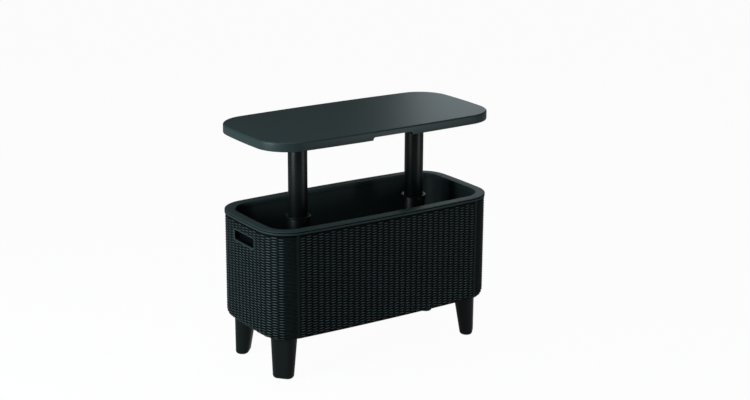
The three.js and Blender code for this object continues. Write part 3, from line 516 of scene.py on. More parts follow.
def foot_curve(side_inset, bottom_inset, start, end, steps=8):
    """Section points of the wall's foot, between two turns of its quarter ellipse."""
    centre = (WALL_INSET + FOOT_INSET, FOOT_TOP)
    across, down = centre[0] - side_inset, centre[1] - bottom_inset
    turns = [start + (end - start) * i / steps for i in range(steps + 1)]
    return [(centre[0] - across * math.cos(t), centre[1] - down * math.sin(t)) for t in turns]


def wall_section(plain_from):
    """Closed section of a panel: recessed behind the weave, and proud again below a turn of its foot."""
    lip_inset = WALL_INSET + FOOT_INSET + LIP_WIDTH
    return [
        (WALL_INSET, WALL_TOP), (WALL_INSET, WEAVE_TOP + BORDER_STEP),
        (WALL_INSET + BORDER_CHAMFER, WEAVE_TOP + BORDER_STEP - BORDER_CHAMFER),
        (BACKING_INSET, WEAVE_TOP),
        *foot_curve(BACKING_INSET, WALL_BOTTOM + BACKING_RISE, 0, plain_from),
        *foot_curve(WALL_INSET, WALL_BOTTOM, plain_from + 0.05, math.pi / 2),
        (lip_inset, WALL_BOTTOM), (lip_inset, WALL_BOTTOM + LIP_THICKNESS),
        (WALL_INSET + FOOT_INSET, WALL_BOTTOM + LIP_THICKNESS),
        *foot_curve(WALL_BACK_INSET, WALL_BOTTOM + WALL_BACK_RISE, math.pi / 2 - 0.2, 0),
        (WALL_BACK_INSET, WALL_TOP),
    ]


def strand(name, stops, row_height):
    """One flat strand along X that passes through (distance, offset) stops."""
    curve = bpy.data.curves.new(name, "CURVE")
    curve.dimensions = "2D"
    curve.resolution_u = 4
    spline = curve.splines.new("BEZIER")
    spline.bezier_points.add(len(stops) - 1)
    for place, (knot, (along, out)) in enumerate(zip(spline.bezier_points, stops)):
        before = along - stops[max(place - 1, 0)][0]
        after = stops[min(place + 1, len(stops) - 1)][0] - along
        knot.handle_left_type = knot.handle_right_type = "FREE"
        knot.co = (along * MM, out * MM, 0)
        knot.handle_left = ((along - before * 0.5) * MM, out * MM, 0)
        knot.handle_right = ((along + after * 0.5) * MM, out * MM, 0)
    half = ROW_PITCH / 2 - STRAND_GAP / 2
    face = [math.radians(a) for a in (-90, -54, -18, 18, 54, 90)]
    front = [(STRAND_THICKNESS * math.cos(a), row_height + half * math.sin(a)) for a in face]
    section = [(STRAND_BACK, front[0][1]), *front, (STRAND_BACK, front[-1][1])]
    return sweep(name, curve, section, capped=True)


def repeated(piece, count, step):
    """The piece copied in a row by a step in mm."""
    array = piece.modifiers.new("row", "ARRAY")
    array.count = count
    array.use_relative_offset = False
    array.use_constant_offset = True
    array.constant_offset_displace = [v * MM for v in step]
    take_up(piece)
    bpy.ops.object.modifier_apply(modifier=array.name)
    return piece


def stake(name, along, bottom):
    """One upright stake, flat in section, cut into short lengths where the foot curves in."""
    bpy.ops.object.select_all(action="DESELECT")
    height = WEAVE_TOP + STAKE_ABOVE - bottom
    bpy.ops.mesh.primitive_cylinder_add(
        vertices=10, radius=0.5, depth=height * MM, location=(along * MM, 0, (bottom + height / 2) * MM))
    piece = bpy.context.object
    piece.name = name
    piece.scale = (STAKE_WIDTH * MM, 2 * STAKE_DEPTH * MM, 1)
    bpy.ops.object.transform_apply(location=True, rotation=True, scale=True)
    bpy.ops.object.mode_set(mode="EDIT")
    lengths = max(round((FOOT_TOP - bottom) / STAKE_CUT), 1)
    for i in range(lengths):
        bpy.ops.mesh.select_all(action="SELECT")
        level = FOOT_TOP - (FOOT_TOP - bottom) * i / lengths
        bpy.ops.mesh.bisect(plane_co=(0, 0, level * MM), plane_no=(0, 0, 1))
    bpy.ops.object.mode_set(mode="OBJECT")
    return piece


def wrap_round_wall(piece, start, end):
    """Lays a piece made flat (X along, Y out, Z up the section) on the wall between two directions, and
    keeps how far each point stands out in its relief attribute."""
    mesh = piece.data
    flat = np.empty(len(mesh.vertices) * 3)
    mesh.vertices.foreach_get("co", flat)
    along, out, up = flat.reshape(-1, 3).T / MM
    breaks = [start, *outline_breaks(rim_outline, start, end), end]
    radii = [arc_at(rim_outline, (a + b) / 2)[1] - WEAVE_INSET for a, b in zip(breaks, breaks[1:])]
    runs = np.cumsum([0, *[(b - a) * r for a, b, r in zip(breaks, breaks[1:], radii)]])
    angle = np.interp(along, runs, breaks)
    turns = np.linspace(0, math.pi / 2, 60)
    curve_in, curve_down = FOOT_INSET * (1 - np.cos(turns)), FOOT_RISE * np.sin(turns)
    slope = np.cumsum([0, *np.hypot(np.diff(curve_in), np.diff(curve_down))])
    turn = np.interp(FOOT_TOP - up, slope, turns)
    facing_out, facing_down = FOOT_RISE * np.cos(turn), FOOT_INSET * np.sin(turn)
    length = np.hypot(facing_out, facing_down)
    inset = WEAVE_INSET + FOOT_INSET * (1 - np.cos(turn)) - out * facing_out / length
    height = np.where(up > FOOT_TOP, up, FOOT_TOP - FOOT_RISE * np.sin(turn)) - out * facing_down / length
    bare = np.arctan2(np.abs(np.sin(angle)), np.abs(np.cos(angle)))
    arcs = [rim_outline[k] for k in ("short", "corner", "long")]
    kind = np.where(bare < rim_outline["start"], 0, np.where(bare > rim_outline["end"], 2, 1))
    centre_x, centre_y = (np.array([a[0][i] for a in arcs])[kind] for i in (0, 1))
    radius = np.array([a[1] for a in arcs])[kind] - inset
    x = np.sign(np.cos(angle)) * (centre_x + radius * np.abs(np.cos(angle)))
    y = np.sign(np.sin(angle)) * (centre_y + radius * np.abs(np.sin(angle)))
    mesh.vertices.foreach_set("co", (np.stack([x, y, height], axis=1) * MM).ravel())
    mesh.flip_normals()  # the wrap mirrors the piece, so its faces are turned outward again
    deepest, highest = -STRAND_SWING - STRAND_THICKNESS / 2, STRAND_SWING + STRAND_THICKNESS
    relief = mesh.attributes.new("relief", "FLOAT", "POINT")
    relief.data.foreach_set("value", np.clip((out - deepest) / (highest - deepest), 0, 1))
    mesh.update()


def run_between(start, end):
    """Length of the weave's middle between two directions, in mm."""
    breaks = [start, *outline_breaks(rim_outline, start, end), end]
    arcs = zip(breaks, breaks[1:])
    return sum((b - a) * (arc_at(rim_outline, (a + b) / 2)[1] - WEAVE_INSET) for a, b in arcs)


def weave(name, start, end, stakes, rows, plain_run=0):
    """Strands and stakes of one panel, made flat. Beyond the stakes each strand lies straight."""
    run = run_between(start, end)
    first, last = plain_run, run - plain_run
    pitch = (last - first) / stakes
    middles = [first + pitch * (i + 0.5) for i in range(stakes)]
    bottom = WEAVE_TOP - rows * ROW_PITCH
    pieces = []
    for row in (0, 1):
        swings = [STRAND_SWING if (i + row) % 2 == 0 else -STRAND_SWING for i in range(stakes)]
        stops = [*zip(middles, swings)]
        if plain_run:
            stops = [(first, PLAIN_OUT), *stops, (last, PLAIN_OUT)]
        stops = [(WEAVE_END_GAP, PLAIN_OUT), *stops, (run - WEAVE_END_GAP, PLAIN_OUT)]
        piece = strand(f"{name}_strand_{row}", stops, bottom + (row + 0.5) * ROW_PITCH)
        pieces.append(repeated(piece, rows // 2, (0, 0, 2 * ROW_PITCH)))
    pieces.append(repeated(stake(f"{name}_stake", middles[0], bottom), stakes, (pitch, 0, 0)))
    bpy.ops.object.select_all(action="DESELECT")
    for piece in pieces:
        piece.select_set(True)
    bpy.context.view_layer.objects.active = pieces[0]
    bpy.ops.object.join()
    pieces[0].name = name
    return pieces[0], run


# Matt-satin polypropylene from an etched mould, near black with a green-blue cast. The strands' crests are
# painted much paler, mostly as painted highlight and partly as wear, and shine a little more; the hollows
# are painted near black as painted shade. Behind the strands the backing is painted near black as painted
# shade, and the corner stakes are plain and smoother.
woven_skin = moulded(
    "polypropylene_woven_relief", "506265", roughness=0.42, specular=0.26,
    grain_mm=0.7, grain_depth_mm=0.03, mottle=0.12, painted_shade_colour="0b1112")
# The backing's near-black colour is painted shade, where little light reaches behind the strands.
backing_painted_shade = moulded(
    "polypropylene_behind_weave_painted_shade", "060809", roughness=0.6, specular=0.06,
    grain_mm=0.7, grain_depth_mm=0.03, mottle=0.1)
band_skin = moulded(
    "polypropylene_plain_stake", "131c1d", roughness=0.42, specular=0.18,
    grain_mm=0.9, grain_depth_mm=0.03, mottle=0.08)

for side, middle in (("front", 1.5 * math.pi), ("back", 0.5 * math.pi)):
    start, end = middle - (math.pi / 2 - JOINT_TURN), middle + (math.pi / 2 - JOINT_TURN)
    panel_path = guide(f"{side}_wall_path", rim_outline, 0, start, end)
    panel = sweep(f"{side}_wall", panel_path, wall_section(FRONT_EDGE_TURN), capped=True)
    panel.data.materials.append(backing_painted_shade)
    woven, _ = weave(f"{side}_weave", start, end, FRONT_STAKES, FRONT_ROWS)
    wrap_round_wall(woven, start, end)
    woven.data.materials.append(woven_skin)
    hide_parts(f"{side}_panel")
    for piece in (panel, woven):
        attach(piece, "cooler")

HANDLE_LENGTH, HANDLE_HEIGHT, HANDLE_LEVEL, HANDLE_FRAME = 120.0, 30.5, 426.0, 4.6
WINDOW_MARGIN, WINDOW_REACH, NEARLY_STRAIGHT = 9, 20, 0.01
CORNER_STAKE_PROUD, CORNER_STAKE_BACK, CORNER_STAKE_RISE, CORNER_STAKE_LIP = 0.1, 5.5, 3.5, 2.5


def cut_window(piece, left, right, low, high):
    """Cuts a rectangle out of a piece made flat, so that the handle's frame can fill it."""
    take_up(piece)
    bpy.ops.object.mode_set(mode="EDIT")
    bpy.ops.mesh.select_mode(type="FACE")
    for place, facing in (((left, 0, 0), (1, 0, 0)), ((right, 0, 0), (1, 0, 0)),
                          ((0, 0, low), (0, 0, 1)), ((0, 0, high), (0, 0, 1))):
        bpy.ops.mesh.select_all(action="SELECT")
        bpy.ops.mesh.bisect(plane_co=[v * MM for v in place], plane_no=facing)
    bpy.ops.object.mode_set(mode="OBJECT")
    for polygon in piece.data.polygons:
        middle = polygon.center / MM
        polygon.select = left < middle.x < right and low < middle.z < high
    bpy.ops.object.mode_set(mode="EDIT")
    bpy.ops.mesh.delete(type="FACE")
    bpy.ops.mesh.select_all(action="SELECT")
    bpy.ops.mesh.fill_holes(sides=0)
    bpy.ops.object.mode_set(mode="OBJECT")


for side, middle in (("right", 0.0), ("left", math.pi)):
    start, end = middle - JOINT_TURN, middle + JOINT_TURN
    panel_path = guide(f"{side}_end_path", rim_outline, 0, start, end)
    panel = sweep(f"{side}_end_wall", panel_path, wall_section(END_EDGE_TURN), capped=True)
    panel.data.materials.append(backing_painted_shade)
    window = bowed_outline(HANDLE_LENGTH + WINDOW_MARGIN, HANDLE_HEIGHT + WINDOW_MARGIN, WINDOW_MARGIN,
                           NEARLY_STRAIGHT, NEARLY_STRAIGHT)
    cutter = sweep(f"{side}_window_cutter", guide(f"{side}_window", window, 0),
                   [(0, -WINDOW_REACH), (0, WINDOW_REACH)], closed=False)
    close_ends(cutter, -WINDOW_REACH, WINDOW_REACH)
    cutter.rotation_euler = (math.pi / 2, 0, math.pi / 2)
    cutter.location = (math.copysign(RIM_LENGTH / 2, math.cos(middle)) * MM, 0, HANDLE_LEVEL * MM)
    bpy.context.view_layer.update()
    carve(panel, cutter)
    inner_start, inner_end = middle - BAND_TURN, middle + BAND_TURN
    plain_run = run_between(middle + PLAIN_TURN, middle + BAND_TURN)
    woven, run = weave(f"{side}_end_weave", inner_start, inner_end, END_STAKES, END_ROWS, plain_run)
    half_cut, half_rise = HANDLE_LENGTH / 2 + HANDLE_FRAME, HANDLE_HEIGHT / 2 + HANDLE_FRAME
    cut_window(woven, run / 2 - half_cut, run / 2 + half_cut,
               HANDLE_LEVEL - half_rise, HANDLE_LEVEL + half_rise)
    wrap_round_wall(woven, inner_start, inner_end)
    woven.data.materials.append(woven_skin)
    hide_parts(f"{side}_end_panel")
    face = WALL_INSET - CORNER_STAKE_PROUD
    bands = []
    for name, first, last in (("front", -JOINT_TURN, -BAND_TURN), ("back", BAND_TURN, JOINT_TURN)):
        if math.cos(middle) < 0:
            first, last = -last, -first
        band_path = guide(f"{side}_{name}_band_path", rim_outline, 0, middle + first, middle + last)
        band = sweep(f"{side}_{name}_corner_stake", band_path, [
            (face, WALL_TOP), *foot_curve(face, WALL_BOTTOM, 0, math.pi / 2),
            (WALL_INSET + FOOT_INSET, WALL_BOTTOM + CORNER_STAKE_LIP),
            *foot_curve(CORNER_STAKE_BACK, WALL_BOTTOM + CORNER_STAKE_RISE, math.pi / 2, 0),
            (CORNER_STAKE_BACK, WALL_TOP)], capped=True)
        band.data.materials.append(band_skin)
        bands.append(band)
    for piece in (panel, woven, *bands):
        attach(piece, "cooler")

# Carrying handles
# A finger pocket behind each end slot, moulded in the rim's resin: a narrow frame lies flush in the
# weave and bends with the wall, a flange behind it holds it, and the pocket is 20 mm deep.
HANDLE_DEPTH, HANDLE_WALL, HANDLE_ROUND, HANDLE_EDGE, FRAME_EDGE = 20.0, 2.2, 5.0, 3.2, 0.7
POCKET_FLANGE, FLANGE_FRONT, FLANGE_BACK, FRAME_PROUD = 5.0, 6, 8, 0.3

# The frame is rubbed paler by hands, and the pocket behind it is painted dull black as painted shade.
handle_skin = moulded(
    "polypropylene_handle_frame", "303c3e", roughness=0.42, specular=0.3,
    grain_mm=0.9, grain_depth_mm=0.03, mottle=0.05)
pocket_painted_shade = moulded(
    "polypropylene_pocket_painted_shade", "06090a", roughness=0.65, specular=0.06,
    grain_mm=0.9, grain_depth_mm=0.03, mottle=0.05)
for side, sign in (("right", 1), ("left", -1)):
    slot = bowed_outline(HANDLE_LENGTH, HANDLE_HEIGHT, HANDLE_ROUND, NEARLY_STRAIGHT, NEARLY_STRAIGHT)
    flange_rim = -HANDLE_WALL - POCKET_FLANGE
    pocket = sweep(f"{side}_handle_pocket", guide(f"{side}_slot_path", slot, 0), [
        (0, -HANDLE_DEPTH), *rounded((-HANDLE_EDGE, -HANDLE_EDGE), 0, 90, HANDLE_EDGE, 6),
        *rounded((FRAME_EDGE - HANDLE_FRAME, -FRAME_EDGE), 90, 180, FRAME_EDGE, 3),
        (-HANDLE_FRAME, -FLANGE_FRONT), (flange_rim, -FLANGE_FRONT), (flange_rim, -FLANGE_BACK),
        (-HANDLE_WALL, -FLANGE_BACK), (-HANDLE_WALL, -HANDLE_DEPTH - HANDLE_WALL)], closed=False)
    close_ends(pocket, -HANDLE_DEPTH - HANDLE_WALL, -HANDLE_DEPTH)
    pocket.rotation_euler = (math.pi / 2, 0, sign * math.pi / 2)
    pocket.location = (sign * (RIM_LENGTH / 2 - WALL_INSET + FRAME_PROUD) * MM, 0, HANDLE_LEVEL * MM)
    bpy.ops.object.transform_apply(location=True, rotation=True, scale=True)
    bow_radius = rim_outline["short"][1] * MM
    for vertex in pocket.data.vertices:
        vertex.co.x -= sign * vertex.co.y ** 2 / 2 / bow_radius
    pocket.data.materials.append(handle_skin)
    pocket.data.materials.append(pocket_painted_shade)
    # Faces deeper than the frame's rounded edge take the painted shade.
    for polygon in pocket.data.polygons:
        depth = RIM_LENGTH / 2 - WALL_INSET - abs(polygon.center.x) / MM
        polygon.material_index = 1 if depth > HANDLE_EDGE + 1 else 0
    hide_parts(f"handle_cup_{side}")
    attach(pocket, "cooler")

# Base tray and legs
# The tray is a ribbed moulding that carries the liner and holds four sockets. The legs are hollow
# mouldings, pushed into the sockets: oval-cornered, wider at the top and rounded at the floor.
LEG_TOP, SPIGOT_TOP, LEG_REACH, LEG_TURN = 142.5, 154.3, 71.5, math.radians(42)
LEG_FOOT, LEG_HEAD, LEG_FOOT_CORNER = (41.0, 66.0), (65.0, 83.0), 19.0
LEG_FOOT_ROUND, SPIGOT_SHOULDER = 9.0, 12.0
LEG_PLACES = {"front_left": (-1, -1), "front_right": (1, -1), "back_left": (-1, 1), "back_right": (1, 1)}

# Matt polypropylene from an unpolished mould. The tray keeps the solid's shape.
tray_skin = moulded(
    "polypropylene_tray_matt", "101415", roughness=0.6, specular=0.16,
    grain_mm=1.2, grain_depth_mm=0.04, mottle=0.06)
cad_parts["base_tray"].material_slots[0].material = tray_skin

bpy.ops.object.select_all(action="DESELECT")
bpy.ops.mesh.primitive_plane_add(size=1.0)
leg = bpy.context.object
leg.name = "leg_model"
leg.scale = (LEG_FOOT[0] * MM, LEG_FOOT[1] * MM, 1)
bpy.ops.object.transform_apply(location=True, rotation=True, scale=True)
bpy.ops.object.mode_set(mode="EDIT")
bpy.ops.mesh.select_all(action="SELECT")
bpy.ops.mesh.bevel(offset=LEG_FOOT_CORNER * MM, segments=9, affect="VERTICES")
bpy.ops.mesh.extrude_region_move(TRANSFORM_OT_translate={"value": (0, 0, LEG_TOP * MM)})
bpy.ops.transform.resize(value=(LEG_HEAD[0] / LEG_FOOT[0], LEG_HEAD[1] / LEG_FOOT[1], 1))
bpy.ops.transform.translate(value=(-(LEG_HEAD[0] - LEG_FOOT[0]) / 2 * MM, 0, 0))
bpy.ops.mesh.inset(thickness=SPIGOT_SHOULDER * MM)
bpy.ops.mesh.extrude_region_move(TRANSFORM_OT_translate={"value": (0, 0, (SPIGOT_TOP - LEG_TOP) * MM)})
bpy.ops.mesh.select_all(action="SELECT")
bpy.ops.mesh.normals_make_consistent(inside=False)
bpy.ops.object.mode_set(mode="OBJECT")


def bevel_level_edges(piece, height, offset, segments):
    """Rounds the outer edges of a piece that lie level at a height, in mm."""
    mesh = piece.data
    for vertex in mesh.vertices:
        vertex.select = abs(vertex.co.z - height * MM) < 1e-6
    for edge in mesh.edges:
        edge.select = all(mesh.vertices[v].select for v in edge.vertices)
    for polygon in mesh.polygons:
        polygon.select = False
    take_up(piece)
    bpy.ops.object.mode_set(mode="EDIT")
    bpy.ops.mesh.select_mode(type="EDGE")
    bpy.ops.mesh.bevel(offset=offset * MM, segments=segments, affect="EDGES")
    bpy.ops.object.mode_set(mode="OBJECT")


bevel_level_edges(leg, 0, LEG_FOOT_ROUND, 7)
bpy.ops.object.shade_smooth_by_angle(angle=math.radians(50))

# Satin polypropylene with the flow of the mould just visible: a long soft highlight down each leg.
leg_skin = moulded(
    "polypropylene_satin_leg", "121a1b", roughness=0.42, specular=0.22,
    grain_mm=1.0, grain_depth_mm=0.03, mottle=0.06, edge_mm=3.0)


def copied(model, name, place, turn):
    """A copy of a model with its own mesh, turned, and moved to a place in mm."""
    piece = model.copy()
    piece.data = model.data.copy()
    piece.name = name
    bpy.context.collection.objects.link(piece)
    piece.location = [v * MM for v in place]
    piece.rotation_euler = turn
    take_up(piece)
    bpy.ops.object.transform_apply(location=True, rotation=True, scale=True)
    return piece


corner_centre = rim_outline["corner"][0]
for name, (across, along) in LEG_PLACES.items():
    facing = Vector((across * math.cos(LEG_TURN), along * math.sin(LEG_TURN), 0))
    place = Vector((across * corner_centre.x, along * corner_centre.y, 0))
    place += facing * (LEG_REACH - LEG_FOOT[0] / 2)
    piece = copied(leg, f"leg_{name}_shell", place, (0, 0, math.atan2(facing.y, facing.x)))
    piece.data.materials.append(leg_skin)
    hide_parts(f"leg_{name}")
    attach(piece, "cooler")
bpy.data.objects.remove(leg)

# Guide sleeves and collars
# A flanged tube stands on the liner's floor at each column place and guides the shoe. A slit bush of
# harder plastic closes its top and grips the column, with a rounded flange that a hand can feel.
COLUMN_PLACE = 220.0225
SLEEVE_FOOT, SLEEVE_TOP, SLEEVE_BORE, SLEEVE_RADIUS, SLEEVE_FLANGE = 161.3, 466.7, 34.0, 37.5, 53.5
COLLAR_FOOT, COLLAR_FLANGE_FOOT, COLLAR_TOP, COLLAR_BORE = 437.0, 467.0, 472.0, 30.8
COLLAR_RADIUS, COLLAR_FLANGE = 33.7, 41.0
FLANGE_THICKNESS, FLANGE_EDGE, FLANGE_FILLET, SLEEVE_EDGE = 5.0, 1.5, 4.0, 0.6
COLLAR_UNDER_EDGE, COLLAR_TOP_EDGE, COLLAR_MOUTH_EDGE = 0.8, 2.2, 1.0
SLEEVE_DRAIN, COLLAR_SLITS, COLLAR_SLIT = (10.0, 8.0), 3, (3.0, 22.0)


def round_outline(radius):
    """Arcs of a circle, in the outline's form."""
    arc = (Vector((0, 0)), radius)
    return {"start": 0.5, "end": 1.07, "short": arc, "corner": arc, "long": arc}


def top_edge(radius, height, edge, steps):
    """Rounded upper edge of a turned piece's profile."""
    return rounded((radius - edge, height - edge), 0, 90, edge, steps)


def foot_edge(radius, height, edge, steps):
    """Rounded lower edge of a turned piece's profile."""
    return rounded((radius - edge, height + edge), 270, 360, edge, steps)


def turned(name, profile, place, steps=6):
    """Piece turned from a closed profile of (radius, height) points, on an upright axis at (x, y)."""
    widest = max(radius for radius, _ in profile)
    path = guide(name + "_path", round_outline(widest), 0)
    path.resolution_u = steps
    piece = sweep(name, path, [(widest - radius, height) for radius, height in profile])
    piece.location = (place[0] * MM, place[1] * MM, 0)
    bpy.ops.object.transform_apply(location=True, rotation=True, scale=True)
    return piece


def box_tool(size, place, turn=0.0):
    """A plain box to cut with, by its size and its middle in mm, turned about its upright axis."""
    bpy.ops.object.select_all(action="DESELECT")
    bpy.ops.mesh.primitive_cube_add(size=1, location=[v * MM for v in place], rotation=(0, 0, turn))
    tool = bpy.context.object
    tool.scale = [v * MM for v in size]
    return tool


# Polypropylene from a polished mould, drawn lengthwise. Two soft highlights run down each tube.
tube_skin = moulded(
    "polypropylene_smooth_tube", "080f10", roughness=0.4, specular=0.3,
    grain_mm=1.4, grain_depth_mm=0.02, mottle=0.05, stretch=(1, 1, 0.15))

# Acetal is harder and slides well. It is a little paler, with a duller and more even shine.
bush_skin = moulded(
    "acetal_collar_satin", "0c1112", roughness=0.4, specular=0.2,
    grain_mm=1.0, grain_depth_mm=0.02, mottle=0.05)

flange_top = SLEEVE_FOOT + FLANGE_THICKNESS
for side, sign in (("left", -1), ("right", 1)):
    place = (sign * COLUMN_PLACE, 0)
    sleeve = turned(f"guide_sleeve_{side}", [
        (SLEEVE_BORE, SLEEVE_FOOT), (SLEEVE_FLANGE, SLEEVE_FOOT),
        *top_edge(SLEEVE_FLANGE, flange_top, FLANGE_EDGE, 3),
        *rounded((SLEEVE_RADIUS + FLANGE_FILLET, flange_top + FLANGE_FILLET), 270, 180, FLANGE_FILLET, 4),
        *top_edge(SLEEVE_RADIUS, SLEEVE_TOP, SLEEVE_EDGE, 2),
        (SLEEVE_BORE, SLEEVE_TOP)], place)
    drain_slot = (3 * SLEEVE_FLANGE, SLEEVE_DRAIN[0], 2 * SLEEVE_DRAIN[1])
    carve(sleeve, box_tool(drain_slot, (*place, SLEEVE_FOOT)))
    sleeve.data.materials.append(tube_skin)
    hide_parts(f"sleeve_{side}")
    collar = turned(f"collar_bush_{side}", [
        (COLLAR_BORE, COLLAR_FOOT), (COLLAR_RADIUS, COLLAR_FOOT), (COLLAR_RADIUS, COLLAR_FLANGE_FOOT),
        *foot_edge(COLLAR_FLANGE, COLLAR_FLANGE_FOOT, COLLAR_UNDER_EDGE, 3),
        *top_edge(COLLAR_FLANGE, COLLAR_TOP, COLLAR_TOP_EDGE, 5),
        *rounded((COLLAR_BORE + COLLAR_MOUTH_EDGE, COLLAR_TOP - COLLAR_MOUTH_EDGE),
                 90, 180, COLLAR_MOUTH_EDGE, 3)], place)
    for number in range(COLLAR_SLITS):
        slit = (3 * COLLAR_FLANGE, COLLAR_SLIT[0], 2 * COLLAR_SLIT[1])
        carve(collar, box_tool(slit, (*place, COLLAR_FOOT), (number + 0.5) * math.pi / COLLAR_SLITS))
    collar.data.materials.append(bush_skin)
    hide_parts(f"sleeve_collar_{side}")
    for piece, finish in ((sleeve, "column_resin"), (collar, "guide_resin")):
        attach(piece, "cooler")

# Columns, heads and shoes
# Two plain tubes carry the table top. Each has a flanged head pushed in from above and screwed to the
# cover, and a ring round its foot that slides in the sleeve.
COLUMN_FOOT, COLUMN_TOP, COLUMN_RADIUS, COLUMN_BORE = 411.7, 730.4, 30.5, 27.5
HEAD_FOOT, HEAD_FLANGE_FOOT, HEAD_TOP, HEAD_RADIUS = 704.7, 730.7, 734.7, 49.0
HEAD_SPIGOT_RADIUS, HEAD_SPIGOT_BORE = 27.2, 23.2
SHOE_FOOT, SHOE_TOP, SHOE_RADIUS, SHOE_LEDGE, SHOE_GAP = 408.7, 436.7, 33.7, 2.7, 0.3
COLUMN_EDGE, HEAD_UNDER_EDGE, HEAD_TOP_EDGE, SHOE_EDGE = 0.8, 1.5, 0.5, 1.0

for side, sign in (("left", -1), ("right", 1)):
    place = (sign * COLUMN_PLACE, 0)
    column = turned(f"column_tube_{side}", [
        (COLUMN_BORE, COLUMN_FOOT), *foot_edge(COLUMN_RADIUS, COLUMN_FOOT, COLUMN_EDGE, 2),
        *top_edge(COLUMN_RADIUS, COLUMN_TOP, COLUMN_EDGE, 2),
        (COLUMN_BORE, COLUMN_TOP)], place, steps=8)
    column.data.materials.append(tube_skin)
    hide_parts(f"column_{side}")
    head = turned(f"head_flange_{side}", [
        (HEAD_SPIGOT_BORE, HEAD_FOOT), (HEAD_SPIGOT_RADIUS, HEAD_FOOT),
        (HEAD_SPIGOT_RADIUS, HEAD_FLANGE_FOOT),
        *foot_edge(HEAD_RADIUS, HEAD_FLANGE_FOOT, HEAD_UNDER_EDGE, 4),
        *top_edge(HEAD_RADIUS, HEAD_TOP, HEAD_TOP_EDGE, 2),
        (HEAD_SPIGOT_BORE, HEAD_TOP)], place)
    head.data.materials.append(tube_skin)
    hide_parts(f"column_head_{side}")
    shoe = turned(f"shoe_ring_{side}", [
        (COLUMN_BORE, SHOE_FOOT), *foot_edge(SHOE_RADIUS, SHOE_FOOT, SHOE_EDGE, 3),
        *top_edge(SHOE_RADIUS, SHOE_TOP, SHOE_EDGE, 3),
        (COLUMN_RADIUS + SHOE_GAP, SHOE_TOP), (COLUMN_RADIUS + SHOE_GAP, SHOE_FOOT + SHOE_LEDGE),
        (COLUMN_BORE, SHOE_FOOT + SHOE_LEDGE)], place)
    shoe.data.materials.append(bush_skin)
    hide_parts(f"column_shoe_{side}")
    for piece, finish in ((column, "column_resin"), (head, "column_resin"), (shoe, "guide_resin")):
        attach(piece, "lifting_top")

# Fixing screws
# Pan-head screws of zinc-plated steel, with a cross recess: four hold each head to the cover from
# below, and four hold each sleeve's flange to the liner's floor.
SCREW_RADIUS, SCREW_HEIGHT, SCREW_ROUND, SCREW_CROSS = 4.0, 2.6, 1.3, (4.4, 1.0, 1.4)
HEAD_SCREW_CIRCLE, SLEEVE_SCREW_CIRCLE, SCREWS_EACH, SCREW_TURN_STEP = 41.0, 46.5, 4, 0.3

bpy.ops.object.select_all(action="DESELECT")
bpy.ops.mesh.primitive_cylinder_add(
    vertices=20, radius=SCREW_RADIUS * MM, depth=SCREW_HEIGHT * MM, location=(0, 0, SCREW_HEIGHT / 2 * MM))
screw = bpy.context.object
screw.name = "screw_model"
bpy.ops.object.transform_apply(location=True, rotation=True, scale=True)
bevel_level_edges(screw, SCREW_HEIGHT, SCREW_ROUND, 4)
for turn in (0, math.pi / 2):
    blade = (SCREW_CROSS[0], SCREW_CROSS[1], 2 * SCREW_CROSS[2])
    carve(screw, box_tool(blade, (0, 0, SCREW_HEIGHT), turn))
bpy.ops.object.shade_smooth_by_angle(angle=SMOOTH_BELOW)

# Zinc plating: a bright satin grey that clouds a little, with fine marks from the driver.
plating, tree = blank_material("steel_zinc_plated")
spot = put(tree, "ShaderNodeTexCoord")
cloud = put(tree, "ShaderNodeTexNoise", {"Vector": spot.outputs["Object"], "Scale": 400.0, "Detail": 3.0})
marks = put(tree, "ShaderNodeTexNoise", {"Vector": spot.outputs["Object"], "Scale": 2500.0, "Detail": 2.0})
zinc = put(tree, "ShaderNodeMix", {
    "Factor": cloud.outputs["Fac"], "A": pigment("868b8c"), "B": pigment("b4b8b9")}, data_type="RGBA")
polish = put(tree, "ShaderNodeMapRange", {"Value": marks.outputs["Fac"], "To Min": 0.28, "To Max": 0.46})
bump = put(tree, "ShaderNodeBump", {"Height": marks.outputs["Fac"], "Distance": 0.02 * MM, "Strength": 0.5})
metal = put(tree, "ShaderNodeBsdfPrincipled", {
    "Base Color": zinc.outputs["Result"], "Metallic": 1.0, "Roughness": polish.outputs["Result"],
    "Normal": bump.outputs["Normal"]})
put(tree, "ShaderNodeOutputMaterial", {"Surface": metal.outputs[0]})

for name, circle, seat, flip, body in (
        ("head", HEAD_SCREW_CIRCLE, HEAD_FLANGE_FOOT, math.pi, "lifting_top"),
        ("sleeve", SLEEVE_SCREW_CIRCLE, flange_top, 0.0, "cooler")):
    for side, sign in (("left", -1), ("right", 1)):
        for number in range(SCREWS_EACH):
            turn = math.pi / 4 + number * math.tau / SCREWS_EACH
            place = (sign * COLUMN_PLACE + circle * math.cos(turn), circle * math.sin(turn), seat)
            piece = copied(screw, f"{name}_screw_{side}_{number}", place,
                           (flip, 0, turn + SCREW_TURN_STEP * number))
            piece.data.materials.append(plating)
            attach(piece, body)
bpy.data.objects.remove(screw)

# Table top
# One moulding in slate grey: a flat deck with a rounded edge and a plain skirt, notched at the front and
# the back so that fingers can lift it. A cover closes it from below.
TOP_LENGTH, TOP_WIDTH, TOP_CORNER, TOP_LONG_BOW, TOP_SHORT_BOW = 838, 407, 108, 12.5, 11.5
TOP_HEIGHT, SKIRT_FOOT, TOP_EDGE, SKIRT_WALL, DECK_WALL = 762.0, 734.0, 5.0, 3.5, 4.0
SKIRT_EDGE, NOTCH_LENGTH, NOTCH_SLOPE, NOTCH_HEIGHT, NOTCH_DEPTH = 1.5, 146.0, 8.0, 10.0, 30.0
NOTCH_TOOL_WIDTH, NOTCH_TOOL_HEIGHT = 80, 30.0

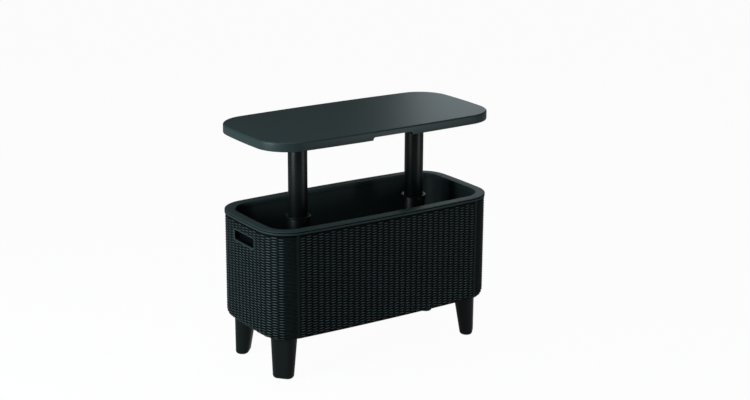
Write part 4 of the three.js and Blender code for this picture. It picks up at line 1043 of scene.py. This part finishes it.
top_outline = bowed_outline(TOP_LENGTH, TOP_WIDTH, TOP_CORNER, TOP_LONG_BOW, TOP_SHORT_BOW)
deck = sweep("table_deck", guide("deck_path", top_outline, 0), [
    (SKIRT_WALL + TOP_EDGE, TOP_HEIGHT - DECK_WALL), (SKIRT_WALL, TOP_HEIGHT - DECK_WALL - TOP_EDGE),
    (SKIRT_WALL, SKIRT_FOOT), *rounded((SKIRT_EDGE, SKIRT_FOOT + SKIRT_EDGE), -90, -180, SKIRT_EDGE, 4),
    *rounded((TOP_EDGE, TOP_HEIGHT - TOP_EDGE), 180, 90, TOP_EDGE, 8)], closed=False)
close_ends(deck, TOP_HEIGHT - DECK_WALL, TOP_HEIGHT)
for sign in (-1, 1):
    notch_middle = (0, sign * (TOP_WIDTH / 2 - NOTCH_DEPTH + NOTCH_TOOL_WIDTH / 2),
                    SKIRT_FOOT + NOTCH_HEIGHT - NOTCH_TOOL_HEIGHT / 2)
    cutter = box_tool((NOTCH_LENGTH, NOTCH_TOOL_WIDTH, NOTCH_TOOL_HEIGHT), notch_middle)
    bpy.ops.object.transform_apply(location=True, rotation=True, scale=True)
    mesh = cutter.data
    for vertex in mesh.vertices:
        vertex.select = vertex.co.z > (SKIRT_FOOT + NOTCH_HEIGHT - 1) * MM
    for edge in mesh.edges:
        a, b = (mesh.vertices[v] for v in edge.vertices)
        edge.select = a.select and b.select and abs(a.co.y - b.co.y) > 0.01
    for polygon in mesh.polygons:
        polygon.select = False
    bpy.ops.object.mode_set(mode="EDIT")
    bpy.ops.mesh.select_mode(type="EDGE")
    bpy.ops.mesh.bevel(offset=NOTCH_SLOPE * MM, segments=8, affect="EDGES")
    bpy.ops.object.mode_set(mode="OBJECT")
    carve(deck, cutter)
smooth_but_level(deck)

# Slate-grey polypropylene with an even fine spark grain, which spreads the lamps into a broad sheen.
deck_skin = moulded(
    "polypropylene_slate_spark_grain", "314041", roughness=0.42, specular=0.3,
    grain_mm=0.8, grain_depth_mm=0.05, mottle=0.04, edge_mm=3.0)
deck.data.materials.append(deck_skin)
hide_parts("table_top")
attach(deck, "lifting_top")

# The cover keeps the solid's shape. Its mould was left coarser, so it stays dull in the top's shade.
cover_skin = moulded(
    "polypropylene_cover_matt", "101516", roughness=0.55, specular=0.18,
    grain_mm=1.2, grain_depth_mm=0.04, mottle=0.06)
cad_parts["top_underside"].material_slots[0].material = cover_skin

# Drain
# A moulded plug with a finger bar closes the drain from below, and presses a soft silicone washer
# against the boss under the liner's floor. Both keep the solids' shape.

# The plug is satin polypropylene, and the silicone washer is dull, with no highlight of its own.
plug_skin = moulded(
    "polypropylene_plug_satin", "16191a", roughness=0.45, specular=0.35,
    grain_mm=1.0, grain_depth_mm=0.03, mottle=0.05)
seal_skin = moulded(
    "silicone_seal_matt", "0c0d0d", roughness=0.8, specular=0.3,
    grain_mm=0.8, grain_depth_mm=0.03, mottle=0.04)
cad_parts["drain_plug"].material_slots[0].material = plug_skin
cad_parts["drain_seal"].material_slots[0].material = seal_skin
